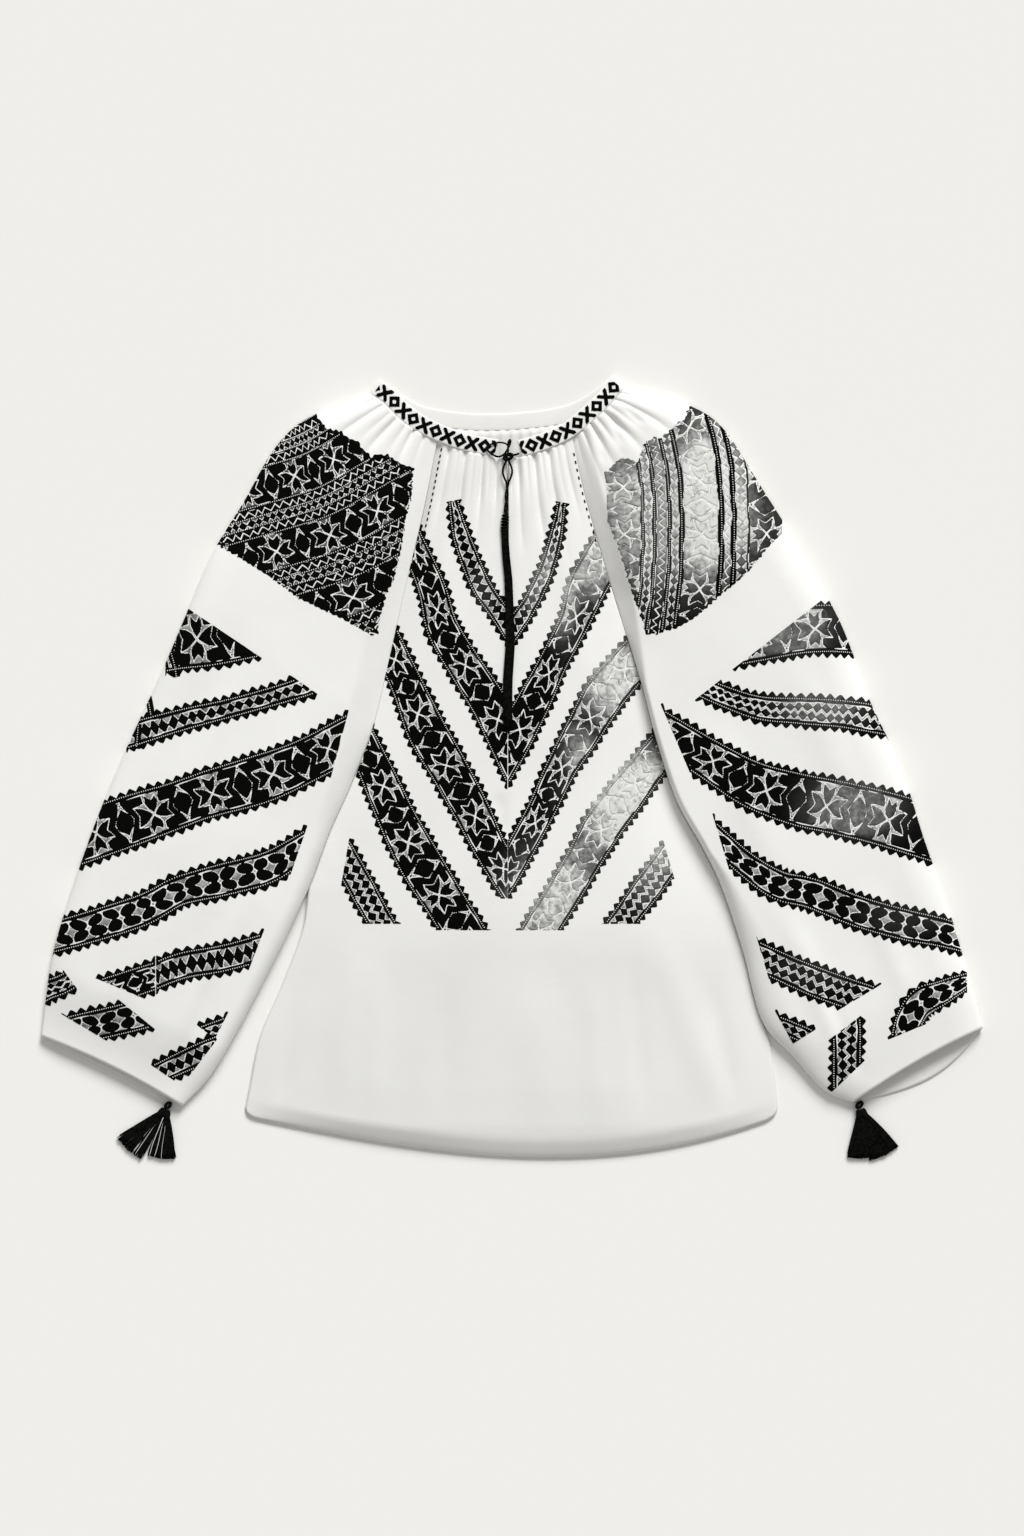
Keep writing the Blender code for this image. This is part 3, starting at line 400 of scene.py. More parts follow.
@dataclass
class Body:
    """The front and the back: panels gathered at the neck, between the two sleeves."""

    front_columns: int = 190
    front_rows: int = 226
    back_columns: int = 120
    back_rows: int = 130
    # soft ridges and troughs of the front: x0, y0, x1, y1, height, half width
    creases: Rows = (
        (-60, 240, -75, 60, 1.0, 12), (50, 240, 70, 60, 1.0, 12), (-140, -150, -170, -330, 1.6, 16),
        (130, -140, 200, -330, 2.0, 18), (-12, -20, -10, -70, -1.2, 7), (20, -190, 30, -350, 1.0, 20),
        (-125, -175, -133, -345, 1.0, 12), (-60, -185, -66, -350, -0.9, 14), (75, -180, 84, -350, 0.9, 12),
        (112, -170, 126, -340, -1.0, 10), (186, -185, 214, -335, -1.6, 11),
        (-205, -200, -226, -335, -1.4, 10),
    )
    # gathers below the band: share across the panel, depth, half width, length, lean at the low end
    front_pleats: Rows = (
        (0.035, 1.5, 2.4, 60, -2), (0.100, 3.9, 2.4, 100, -3), (0.160, 1.4, 2.0, 70, -3),
        (0.210, 4.4, 2.5, 126, -4), (0.270, 1.5, 2.0, 74, -3), (0.330, 3.9, 2.3, 116, -2),
        (0.380, 1.3, 1.8, 62, -1), (0.425, 3.6, 2.2, 92, 0), (0.475, 1.2, 1.8, 48, 0),
        (0.530, 1.4, 2.0, 66, 1), (0.575, 4.0, 2.2, 106, 2), (0.640, 1.3, 1.8, 60, 2),
        (0.695, 4.3, 2.5, 118, 3), (0.750, 1.5, 2.0, 72, 4), (0.800, 4.2, 2.6, 130, 4),
        (0.860, 1.5, 2.0, 78, 3), (0.915, 3.4, 2.3, 100, 3), (0.965, 1.4, 2.2, 58, 2),
    )

    def __post_init__(self) -> None:
        """Finds the side edges and where the neck edge lies at each share across."""
        self.edges = []
        halves = ((INNER_RIGHT, CONTACT_RIGHT, SIDE_RIGHT), (INNER_LEFT, CONTACT_LEFT, SIDE_LEFT))
        for inner, contact, side in halves:
            seam = Route(inner).line
            seam = seam[seam[:, 1] > inner[contact - 1][1]]
            self.edges.append(np.vstack([seam, Route((inner[contact - 1],) + side).line]))
        self.shares = np.linspace(0, 1, 181)
        self.neck = {}
        for name, line in (("front", FRONT_LINE), ("back", BACK_LINE)):
            start, end = np.full_like(self.shares, 285.0), np.full_like(self.shares, 345.0)
            self.neck[name] = below_band(self.across_at, line, start, end)

    def across_at(self, y: Array) -> Array:
        """Places in plan at the heights y, one column for each share across."""
        return np.stack([self.x_at(np.broadcast_to(self.shares, y.shape), y), y], axis=-1)

    def edge_x(self, side: int, y: Array) -> Array:
        """Where the right (0) or left (1) side edge crosses a height in plan.

        Args:
            side: 0 for the right edge, 1 for the left.
            y: heights in plan.
        Returns:
            The x of the edge at each height.
        """
        line = self.edges[side]
        ends = np.vstack([line[0] + (line[0] - line[1]) * 9, line, line[-1] + (line[-1] - line[-2]) * 9])
        return np.interp(-np.maximum(y, SIDE_RIGHT[-1][1]), -ends[:, 1], ends[:, 0])

    def x_at(self, p: Array, y: Array) -> Array:
        """Place across for a share p: straight from the right edge to the slit, and on to the left edge."""
        a, b = self.edge_x(0, y), self.edge_x(1, y)
        return np.where(p < 0.5, a + (SLIT_X - a) * 2 * p, SLIT_X + (b - SLIT_X) * (2 * p - 1))

    def share_at(self, x: Array, y: Array) -> Array:
        """The share across of a place, the inverse of x_at."""
        a, b = self.edge_x(0, y), self.edge_x(1, y)
        return np.where(x < SLIT_X, 0.5 * (x - a) / (SLIT_X - a), 0.5 + 0.5 * (x - SLIT_X) / (b - SLIT_X))

    def row_heights(self, p: Array, half: str) -> Array:
        """The y of each named row at the shares p: the neck edge, the seam rows and the bowed hem rows.

        Args:
            p: shares across.
            half: front or back.
        Returns:
            A row of y for each named row.
        """
        neck = np.interp(p, self.shares, self.neck[half])
        sag = neck - (neck[0] + (neck[-1] - neck[0]) * p)
        rows = [neck] + [y + sag * (1 - ease((SEAM_ROWS[0] + 20 - y) / 90)) for y in SEAM_ROWS]
        across = 2 * p - 1
        bow = (1 - across**2) * (1 + HEM_SKEW * across)
        corner = 1 - np.sqrt(np.maximum(0, 1 - np.clip((np.abs(across) - 0.94) / 0.06, 0, 1) ** 2))
        rows += [y + (HEM_BOW * bow + HEM_CORNER * corner) * share for y, share in HEM_ROWS]
        return np.array(rows)

    def grid(self, p: Array, count: int, half: str) -> tuple[Array, Array]:
        """Places in plan of a fine grid: rows shared out evenly down the panel between the named rows.

        Args:
            p: shares across, one for each column.
            count: how many rows.
            half: front or back.
        Returns:
            The x and the y of each point.
        """
        rows = self.row_heights(p, half)
        side = rows[:, 0]
        level = np.interp(np.linspace(side[0], side[-1], count), side[::-1], np.arange(len(side))[::-1])
        low = np.minimum(level.astype(int), len(rows) - 2)
        y = rows[low] + (rows[low + 1] - rows[low]) * (level - low)[:, None]
        return self.x_at(np.broadcast_to(p, y.shape), y), y

    def front_height(self, x: Array, y: Array) -> Array:
        """Height of the front: edge + (middle - edge) * (1 - |2p - 1|^3.2)^0.95, with gathers and creases.

        Beside the right sleeve's upper seam it dips, and at the hem its height over the hem's own is
        0.04 + 0.96 * (distance / reach)^0.65 of the full one.

        Args:
            x, y: places in plan.
        Returns:
            The height at each place.
        """
        p = np.clip(self.share_at(x, y), 0, 1)
        table = np.array(FRONT_HEIGHTS, float)
        edge = np.interp(-y, -table[:, 0], table[:, 1])
        middle = np.interp(-y, -table[:, 0], table[:, 2])
        dome = (1 - np.abs(2 * p - 1) ** 3.2) ** 0.95
        away = ease(9 * np.minimum(p, 1 - p))
        drop = np.interp(p, self.shares, self.neck["front"]) - y
        creases = relief(self.creases, x, y) * ease((y - FRONT_HEIGHTS[-1][0]) / 25)
        folds = self.gathers(self.front_pleats, x, y, drop) + creases
        tuck = RAGLAN_TUCK * (1 - ease((x - self.edge_x(0, y)) / TUCK_REACH)) * ease((y - TUCK_FOOT_Y) / 20)
        high = edge + (middle - edge) * dome + folds * away - tuck
        hem = HEM_ROWS[-1][0] + HEM_BOW * (1 - (2 * p - 1) ** 2) * (1 + HEM_SKEW * (2 * p - 1))
        rise = 0.04 + 0.96 * np.clip((y - hem) / HEM_REACH, 0, 1) ** 0.65
        return HEM_HEIGHT + (high - HEM_HEIGHT) * rise

    def gathers(self, pleats: Rows, x: Array, y: Array, drop: Array) -> Array:
        """Narrow troughs that run down from the neck: 0.8 - 1.5 * depth * exp(-|side / width|^1.4), fading.

        Args:
            pleats: their table.
            x, y: places in plan.
            drop: how far each place is below the neck edge.
        Returns:
            The height added at each place.
        """
        total = 0.8 * (1 - ease(drop / GATHER_REACH))
        for share, depth, width, length, lean in pleats:
            level = 300.0 - np.clip(drop, 0, 200)
            middle = self.x_at(np.full(np.shape(y), share), level) + lean * (drop / length) ** 2
            fade = (1 - ease(drop / length)) * (0.75 + 0.25 * np.cos(drop / 11 + 9 * share))
            aside = np.abs(x - middle) / (width * (1 + 0.7 * drop / length))
            total = total - 1.5 * depth * np.exp(-(aside**1.4)) * fade
        return total

    def front_place(self, x: Array, y: Array) -> Layer:
        """Places and normals on the front, and how far each is from its side edges.

        Args:
            x, y: places in plan.
        Returns:
            Places, normals that point out, and how far each place is inside the edges.
        """
        step = 0.4
        z = self.front_height(x, y)
        slope_x = (self.front_height(x + step, y) - self.front_height(x - step, y)) / (2 * step)
        slope_y = (self.front_height(x, y + step) - self.front_height(x, y - step)) / (2 * step)
        normals = unit(np.stack([-slope_x, -slope_y, np.ones_like(z)], axis=-1))
        depth = np.minimum(x - self.edge_x(0, y), self.edge_x(1, y) - x)
        return np.stack([x, y, z], axis=-1), normals, depth

    def back_place(self, x: Array, y: Array) -> Layer:
        """Places and normals on the back's lower face, and how far each is from its side edges.

        Args:
            x, y: places in plan.
        Returns:
            Places, normals that point out, and how far each place is inside the edges.
        """
        z = np.full(np.shape(x), BACK_LIFT)
        normals = np.zeros(np.shape(x) + (3,))
        normals[..., 2] = -1
        depth = np.minimum(x - self.edge_x(0, y), self.edge_x(1, y) - x)
        return np.stack([x, y, z], axis=-1), normals, depth

    def build_front(self, linen: Material) -> Piece:
        """The front panel, with the slit cut down from the neck in its middle.

        Args:
            linen: its finish.
        Returns:
            The piece.
        """
        half = self.front_columns // 2
        p = np.linspace(0, 1, 2 * half + 1)
        x, y = self.grid(p, self.front_rows, "front")
        z = self.front_height(x, y)
        grid = np.stack([x, y, z], axis=-1)
        grid = np.insert(grid, half, grid[:, half], axis=1)
        opening = SLIT_HALF * ease((y[:, half] - SLIT_END_Y) / 60)
        grid[:, half, 0] -= opening
        grid[:, half + 1, 0] += opening
        normals = grid_normals(np.delete(grid, half, axis=1))
        normals = np.insert(normals, half, normals[:, half], axis=1)
        count, columns = grid.shape[:2]
        faces = grid_faces(count, columns)
        faces = faces[faces[:, 0] % columns != half]
        closed = y[:, half] <= SLIT_END_Y
        number = np.arange(count * columns).reshape(count, columns)
        number[closed, half + 1] = number[closed, half]
        faces = number.ravel()[faces]
        points, faces, normals = used_only(grid.reshape(-1, 3), faces, normals.reshape(-1, 3))
        points, faces = shell(points, normals, faces, LINEN)
        return make_mesh("front_linen", points, [faces], linen)

    def build_back(self, linen: Material) -> Piece:
        """The back panel, which lies on the table, with shallow gathers under the band.

        Args:
            linen: its finish.
        Returns:
            The piece.
        """
        p = np.linspace(0, 1, self.back_columns)
        x, y = self.grid(p, self.back_rows, "back")
        drop = y[0][None] - y
        lift = np.maximum(0, np.cos(26 * math.pi * p)[None] + 0.3) * (1 - ease(drop / 60))
        grid = np.stack([x, y, BACK_LIFT + 0.9 * lift], axis=-1)
        faces = grid_faces(*x.shape)[:, ::-1]
        points, faces = shell(grid.reshape(-1, 3), -grid_normals(grid).reshape(-1, 3), faces, LINEN)
        return make_mesh("back_linen_painted_shade", points, [faces], linen)


@dataclass
class Sleeve:
    """A full sleeve: one cloth from the seam over the top, round the outer fold and back below."""

    name: str
    fold_rows: Rows
    inner_rows: Rows
    side: int  # -1 for the wearer's right, 1 for the left
    front_back: float  # share of the length by which the cuff's upper hem stands back
    back_beyond: float
    creases: Rows
    pleats: Rows  # share across, depth, half width, length
    flanks: Rows  # share of the length, width of the slope beside the seam, how round it is
    droop: float  # share of its height that the cuff sinks by
    shoulder: float = 32.0  # width of the rounded shoulder at the outer fold
    about_long: float = 700.0  # what the shares along and across count as in the gathers
    about_wide: float = 110.0
    rows: int = 222
    top_columns: int = 96
    low_columns: int = 66

    def __post_init__(self) -> None:
        """Finds the two long edges and where the neck edge lies."""
        self.fold, self.inner = Route(self.fold_rows), Route(self.inner_rows)
        self.shares = np.linspace(0, 1, 61)
        start, end = np.full_like(self.shares, 0.12), np.full_like(self.shares, -0.09)
        self.top_start = below_band(self.across_at, FRONT_LINE, start, end)
        low = below_band(self.across_at, BACK_LINE, start, end)
        self.low_start = self.top_start[0] + (low - self.top_start[0]) * ease(self.shares / 0.25)

    def across_at(self, v: Array) -> Array:
        """Places in plan at the shares v of the length, one column for each share across."""
        return self.plan(v, np.broadcast_to(self.shares, v.shape))

    def plan(self, v: Array, p: Array) -> Array:
        """Place in plan: straight from the fold to the seam at each share of the length.

        Args:
            v, p: shares of the length from the neck, and across from the fold.
        Returns:
            The x and y of each place.
        """
        o, i = self.fold.at(v), self.inner.at(v)
        gap = -self.side * SEAM * 0.3 * p[..., None] * np.array((1.0, 0.0))
        return o + (i - o) * p[..., None] + gap

    def locate(self, x: Array, y: Array) -> tuple[Array, Array]:
        """The shares of places in plan: halves the range of v until the line across meets the place.

        Args:
            x, y: places in plan.
        Returns:
            The shares of the length and across.
        """
        low, high = np.full(np.shape(x), -0.1), np.full(np.shape(x), 1.1)
        here = np.stack([x, y], axis=-1)
        for _ in range(26):
            v = (low + high) / 2
            o, i = self.plan(v, np.zeros_like(v)), self.plan(v, np.ones_like(v))
            d, r = i - o, here - o
            beyond = (d[..., 0] * r[..., 1] - d[..., 1] * r[..., 0]) * self.side > 0
            low, high = np.where(beyond, v, low), np.where(beyond, high, v)
        v = (low + high) / 2
        o, i = self.plan(v, np.zeros_like(v)), self.plan(v, np.ones_like(v))
        d = i - o
        return v, ((here - o) * d).sum(-1) / (d * d).sum(-1)

    def closed(self, v: Array) -> Array:
        """How far the sleeve is closed to a tube at a share of its length: 0 along the body, 1 below it."""
        return ease((50.0 - self.inner.at(v)[..., 1]) / 60.0)

    def top_height(self, v: Array, p: Array) -> Array:
        """Height of the top layer: base + (high - base) * flank * shoulder, with gathers and creases.

        The flank rises straight from the seam and then bends level. Further down it becomes a quarter round,
        as the shoulder at the outer fold is all the way. The left sleeve's seam dips near the neck.

        Args:
            v, p: shares of the length from the neck, and across from the fold.
        Returns:
            The height at each place.
        """
        p = np.clip(p, 0, 1)
        xy = self.plan(v, p)
        heights, front = np.array(SLEEVE_HEIGHTS, float), np.array(FRONT_HEIGHTS, float)
        closed = self.closed(v)
        seam = np.interp(-self.inner.at(v)[..., 1], -front[:, 0], front[:, 1])
        dip = RAGLAN_DROP if self.side > 0 else 0
        seam = seam - dip * (1 - ease((v - DROP_SHARE) / 0.14))
        seam = seam * (1 - closed) + FOLD_RADIUS * closed
        base = FOLD_RADIUS + (seam - FOLD_RADIUS) * p
        width = np.linalg.norm(self.inner.at(v) - self.fold.at(v), axis=-1)
        flanks = np.array(self.flanks, float)
        slope = (1 - p) * width / np.interp(v, flanks[:, 0], flanks[:, 1])
        planar = 0.5 * (slope + 1 - np.sqrt((slope - 1) ** 2 + 0.004)) + 0.001
        flank = planar + (quarter_round(slope) - planar) * np.interp(v, flanks[:, 0], flanks[:, 2])
        shoulder = quarter_round(p * width / self.shoulder)
        dome = flank * shoulder
        high = np.interp(v, heights[:, 0], heights[:, 1]) - 1.5 + 1.5 * np.sin(math.pi * p)
        high = high - self.droop * ease((v - 0.9) / 0.1) * (high - FOLD_RADIUS)
        away = ease(8 * np.minimum(p, 1 - p))
        drop = (v - np.interp(p, self.shares, self.top_start)) * self.about_long
        waves = 0.8 * (1 - ease(drop / GATHER_REACH))
        for share, depth, width, length in self.pleats:
            side = np.abs(p - share) * self.about_wide / (width * (1 + 0.7 * drop / length))
            fade = (1 - ease(drop / length)) * (0.75 + 0.25 * np.cos(drop / 12 + 9 * share))
            waves = waves - 1.4 * depth * np.exp(-(side**1.4)) * fade
        waves = waves + relief(self.creases, xy[..., 0], xy[..., 1])
        return base + (high - base) * dome + waves * away

    def low_height(self, v: Array, p: Array) -> Array:
        """Height of the lower layer: level, with a quarter round of the fold's radius at each closed edge.

        Args:
            v, p: shares of the length from the neck, and across from the fold.
        Returns:
            The height at each place.
        """
        width = np.linalg.norm(self.plan(v, np.zeros_like(v)) - self.plan(v, np.ones_like(v)), axis=-1)
        closed = self.closed(v)
        outer = 1 - quarter_round(p * width / FOLD_RADIUS)
        inner = 1 - quarter_round((1 - p) * width / FOLD_RADIUS)
        reach = FOLD_RADIUS - BACK_LIFT
        return BACK_LIFT + reach * outer + (reach - SEAM) * closed * inner

    def top_point(self, v: Array, p: Array) -> Array:
        """A place on the top layer."""
        return np.concatenate([self.plan(v, p), self.top_height(v, p)[..., None]], axis=-1)

    def low_point(self, v: Array, p: Array) -> Array:
        """A place on the lower layer."""
        return np.concatenate([self.plan(v, p), self.low_height(v, p)[..., None]], axis=-1)

    def on_layer(self, point: Callable[[Array, Array], Array], x: Array, y: Array,
                 turn: int) -> Layer:
        """Places, normals and depth inside the edges on one layer, from steps of its shares.

        Args:
            point: gives the places of the layer from its shares.
            x, y: places in plan.
            turn: 1 for the top layer, -1 for the lower one.
        Returns:
            Places, normals that point out, and how far each place is inside the edges.
        """
        v, p = self.locate(x, y)
        p_in = np.clip(p, 0.002, 0.998)
        dv, dp = 0.0008, 0.002
        along = point(v + dv, p_in) - point(v - dv, p_in)
        across = point(v, np.clip(p_in + dp, 0, 1)) - point(v, np.clip(p_in - dp, 0, 1))
        normals = unit(np.cross(along, across)) * -self.side * turn
        width = np.linalg.norm(self.inner.at(v) - self.fold.at(v), axis=-1)
        hem = 4 * p_in * (1 - p_in) * ease((v - 0.72) / 0.28)
        end = 1 - self.front_back * hem if turn > 0 else 1 + self.back_beyond * hem
        depth = np.minimum(np.minimum(p, 1 - p) * width, (end - v) * self.fold.length - 1.5)
        return point(v, p_in), normals, depth

    def top_place(self, x: Array, y: Array) -> Layer:
        """Places and normals on the top layer, and how far each is inside its edges."""
        return self.on_layer(self.top_point, x, y, 1)

    def low_place(self, x: Array, y: Array) -> Layer:
        """Places and normals on the lower layer, and how far each is inside its edges."""
        return self.on_layer(self.low_point, x, y, -1)

    def build(self, linen: Material) -> Piece:
        """The sleeve's shell, its columns closer together near the fold.

        Args:
            linen: its finish.
        Returns:
            The piece.
        """
        q = np.linspace(1, 0, self.top_columns)
        top_p = 0.4 * q + 0.3 * (1 - np.cos(math.pi * q))
        arc = 1 - np.cos(np.linspace(0, math.pi / 2, 9)[1:])
        w = np.linspace(0, 1, self.rows)[:, None]
        v = self.rows_between(w, top_p, self.top_start, -self.front_back)
        top = self.top_point(v, np.broadcast_to(top_p, v.shape))
        seam_v = self.rows_between(w, np.array([1.0]), self.top_start, 0)[:, 0]
        width = np.linalg.norm(self.inner.at(seam_v) - self.fold.at(seam_v), axis=-1)[:, None]
        near = arc[None] * FOLD_RADIUS / width
        middle = np.linspace(0, 1, self.low_columns - 14)[None, 1:-1]
        far = 1 - near[:, ::-1]
        between = near[:, -1:] + (far[:, :1] - near[:, -1:]) * middle
        shares = np.hstack([near, between, far, np.ones_like(width)])
        low_v = self.rows_between(w, shares, self.low_start, self.back_beyond)
        low = self.low_point(low_v, shares)
        grid = np.concatenate([top, low], axis=1)
        normals = grid_normals(grid) * self.side
        shut = self.closed(seam_v)[:, None]
        level = unit((grid[:, 0] - grid[:, self.top_columns - 1]) * (1, 1, 0))
        for edge in (0, -1):
            normals[:, edge] = unit(normals[:, edge] * (1 - shut) + level * shut)
        faces = grid_faces(*grid.shape[:2])
        faces = faces[:, ::-1] if self.side < 0 else faces
        points, faces = shell(grid.reshape(-1, 3), normals.reshape(-1, 3), faces, LINEN)
        return make_mesh(f"{self.name}_linen", points, [faces], linen)

    def rows_between(self, w: Array, p: Array, start: Array, hem: float) -> Array:
        """Shares of the length from the neck edge to the cuff, with the hem's bow added near it.

        Args:
            w: shares from the neck edge to the cuff.
            p: shares across.
            start: where the neck edge lies at self.shares.
            hem: how far the middle of the hem is beyond its ends.
        Returns:
            A share of the length for each point.
        """
        first = np.interp(p, self.shares, start)
        v = first + (1 - first) * w
        return v + hem * 4 * p * (1 - p) * ease((v - 0.72) / 0.28)


# ---------------------------------------------------------------- needlework


class Motif(Enum):
    """What fills a band between its borders."""

    STARS = "star flowers and lozenges between bent ribbons"
    LOZENGES = "one row of small lozenges"
    TWO_ROWS = "two staggered rows of small lozenges"
    HEARTS = "paired leaves"
    ZIGZAG = "a solid lane with a pale zigzag"
    BAR = "a solid lane"


# One quarter of a star's tile, along the middle of its pale lines: distance along the band, and across it
PETAL_ALONG = ((0.7, -4), (0.7, 0), (4.9, 4.1), (9.0, 6.7), (17.4, 8.0), (12.6, 0), (12.6, -4))
PETAL_ACROSS = ((-4, 0.7), (0, 0.7), (4.0, 4.6), (5.7, 8.8), (5.5, 12.2), (5.0, 16.4), (0, 12.0), (-4, 12.0))
RIBBON = ((12.6, -4), (12.6, 0), (17.4, 8.0), (6.9, 9.6), (7.7, 15.4), (9.6, 17.6), (11.5, 26), (28.4, 26),
          (28.4, 15.0), (26.8, 12.0), (20.0, 0), (20.0, -4))
LOZENGE = ((20.0, 0), (22.6, 5.6), (29.5, 12.2), (36.4, 5.6), (39.0, 0), (36.4, -5.6), (29.5, -12.2),
           (22.6, -5.6))
STAR_HALF_PERIOD = 29.5  # half length and half width that the tile is drawn for
STAR_FIELD = 17.2
PALE_LINE = 0.62  # width of the bare line round each black shape
GROUND_TONE = 0.7  # how grey the thinner thread between the black shapes is
OUTSIDE = -9.0  # a depth that is surely outside
LEAF_PITCH = 16.7
SEED_PITCH = 2.15  # from one seed stitch to the next


def triangle_wave(s: Array, pitch: float) -> Array:
    """1 at multiples of the pitch and 0 half way between them, with straight flanks."""
    return np.abs(2 * (s / pitch - np.floor(s / pitch)) - 1)


def lozenge(ds: Array, dt: Array, half_s: float | Array, half_t: float | Array) -> Array:
    """Depth inside a lozenge: (1 - |ds|/half_s - |dt|/half_t) over the slope of that expression."""
    return (1 - np.abs(ds) / half_s - np.abs(dt) / half_t) / np.sqrt(1 / half_s**2 + 1 / half_t**2)


def stars(s: Array, t: Array, half: Array, half_period: float) -> Array:
    """Depth inside the black of a star band: a quarter tile folded over both axes, less half a pale line.

    Args:
        s, t: distances along the band and across it.
        half: half width of the lane.
        half_period: half the distance from one star to the next.
    Returns:
        The depth at each place.
    """
    along, across = half_period / STAR_HALF_PERIOD, half / STAR_FIELD
    a = np.abs((s + half_period) % (2 * half_period) - half_period)
    b = np.abs(t)
    shapes = [inside(shape, a, b, along, across) for shape in (PETAL_ALONG, PETAL_ACROSS, RIBBON, LOZENGE)]
    bead = PALE_LINE / 2 + 1.0 - np.hypot(a - half_period, b - 14.4 * across)
    return np.maximum(np.max(shapes, axis=0), bead) - PALE_LINE / 2


def lozenges(s: Array, t: Array, half: Array, pitch: float, rows: int) -> Array:
    """Depth inside rows of lozenges that nearly touch, the rows shifted by half a pitch.

    Args:
        s, t: distances along the band and across it.
        half: half width of the lane.
        pitch: from one lozenge to the next.
        rows: how many rows.
    Returns:
        The depth at each place.
    """
    depth = np.full(np.shape(s), OUTSIDE)
    for row in range(rows):
        middle = half * ((2 * row + 1) / rows - 1)
        shift = s + pitch * 0.5 * row
        ds = (shift / pitch - np.floor(shift / pitch) - 0.5) * pitch
        depth = np.maximum(depth, lozenge(ds, t - middle, pitch * 0.57, half / rows * 1.2))
    return depth - 0.1


def hearts(s: Array, t: Array, half: Array, pitch: float) -> Array:
    """Depth inside pairs of oval leaves that lean by turns: (1 - (ds/a)^2 - (dt/b)^2), scaled to millimetres.

    Args:
        s, t: distances along the band and across it.
        half: half width of the lane.
        pitch: from one pair to the next.
    Returns:
        The depth at each place.
    """
    number = np.floor(s / pitch)
    turn = np.where(number % 2 == 0, 1.0, -1.0)
    ds = (s / pitch - number - 0.5) * pitch - turn * 0.13 * pitch * (1 - 2 * np.abs(t) / half)
    dt = np.abs(t) - half * 0.5
    return (1 - (ds / (0.46 * pitch)) ** 2 - (dt / (half * 0.52)) ** 2) * half * 0.26


def zigzag(s: Array, t: Array, half: Array, pitch: float) -> Array:
    """Depth outside a pale zigzag line that swings over the lane's width, less a margin.

    Args:
        s, t: distances along the band and across it.
        half: half width of the lane.
        pitch: the zigzag's period.
    Returns:
        The depth at each place.
    """
    reach = np.minimum(half - 1.1, 2.5)
    swing = reach * (2 * triangle_wave(s, pitch) - 1)
    steep = np.hypot(1, 4 * reach / pitch)
    return np.minimum(np.abs(t - swing) / steep - 0.4, half - np.abs(t))


def filling(motif: Motif, s: Array, t: Array, half: Array, pitch: float, half_period: float) -> Array:
    """Depth inside the black of one motif in a lane whose half width is given.

    Args:
        motif: what fills the lane.
        s, t: distances along the band and across it.
        half: half width of the lane.
        pitch: from one figure to the next.
        half_period: the same for half a star.
    Returns:
        The depth at each place.
    """
    if motif is Motif.STARS:
        return stars(s, t, half, half_period)
    if motif is Motif.HEARTS:
        return hearts(s, t, half, LEAF_PITCH)
    if motif is Motif.ZIGZAG:
        return zigzag(s, t, half, pitch)
    if motif is Motif.BAR:
        return half - np.abs(t)
    return lozenges(s, t, half, pitch, 1 if motif is Motif.LOZENGES else 2)


def with_ground(black: Array, room: Array, tone: float = GROUND_TONE) -> tuple[Array, Array]:
    """Adds thin grey thread in what the black leaves, past a pale line: the depth, and how grey it is."""
    ground = -black - PALE_LINE
    return np.minimum(np.maximum(black, ground), room), np.where(ground > black, tone, 0.0)


def hand(s: Array, t: Array) -> tuple[Array, Array]:
    """Uneven handwork: places moved along and across by slow waves of under a millimetre.

    Args:
        s, t: distances along the band and across it.
    Returns:
        The moved distances.
    """
    along = 0.7 * np.sin(s / 6.1 + t / 8.7 + 0.9) + 0.5 * np.sin(s / 2.9 - t / 4.3)
    across = 0.7 * np.sin(s / 7.7 - t / 9.1 + 2.2) + 0.35 * np.sin(s / 3.3 + t / 3.9)
    return s + along, t + across


@dataclass(frozen=True)
class Border:
    """The toothed border of a band, measured in from its outer edge."""

    teeth: float = 4.4  # height of the triangles
    pitch: float = 9.3
    bar_end: float = 8.7  # where the bar below them ends, 0 for no border
    seed_line: float = 5.7
    gap: float = 0.45  # bare cloth inside the bar

    def depth(self, s: Array, e: Array) -> Array:
        """Depth inside the black: a row of triangles that point out, and the bar that they stand on.

        Args:
            s: distances along the band.
            e: distances in from its edge.
        Returns:
            The depth at each place.
        """
        if self.bar_end == 0:
            return np.full(np.shape(e), OUTSIDE)
        slope = 2.3 * self.teeth / self.pitch
        flank = self.teeth * triangle_wave(s, self.pitch) ** 1.3
        tooth = (e - flank + 0.5) / math.hypot(1, slope)
        teeth = np.minimum(tooth, self.teeth + 0.8 - e)
        bar = np.minimum(e - self.teeth + 0.4, self.bar_end - e)
        return np.maximum(teeth, bar)


BROAD = Border()
SLIM = Border(teeth=3.7, pitch=8.2, bar_end=7.0, seed_line=4.7, gap=0.4)
PLAIN = Border(teeth=0.0, bar_end=0.0, seed_line=0.0, gap=0.0)


@dataclass(frozen=True)
class Patch:
    """Thread laid over part of a cloth, as values on a strip of its own: s along it and t across."""

    s: Array
    t: Array
    x: Array
    y: Array
    black: Array  # depth inside the thread
    sheen_share: Array  # how much of the painted sheen it takes
    tone: Array  # how grey it is from the start


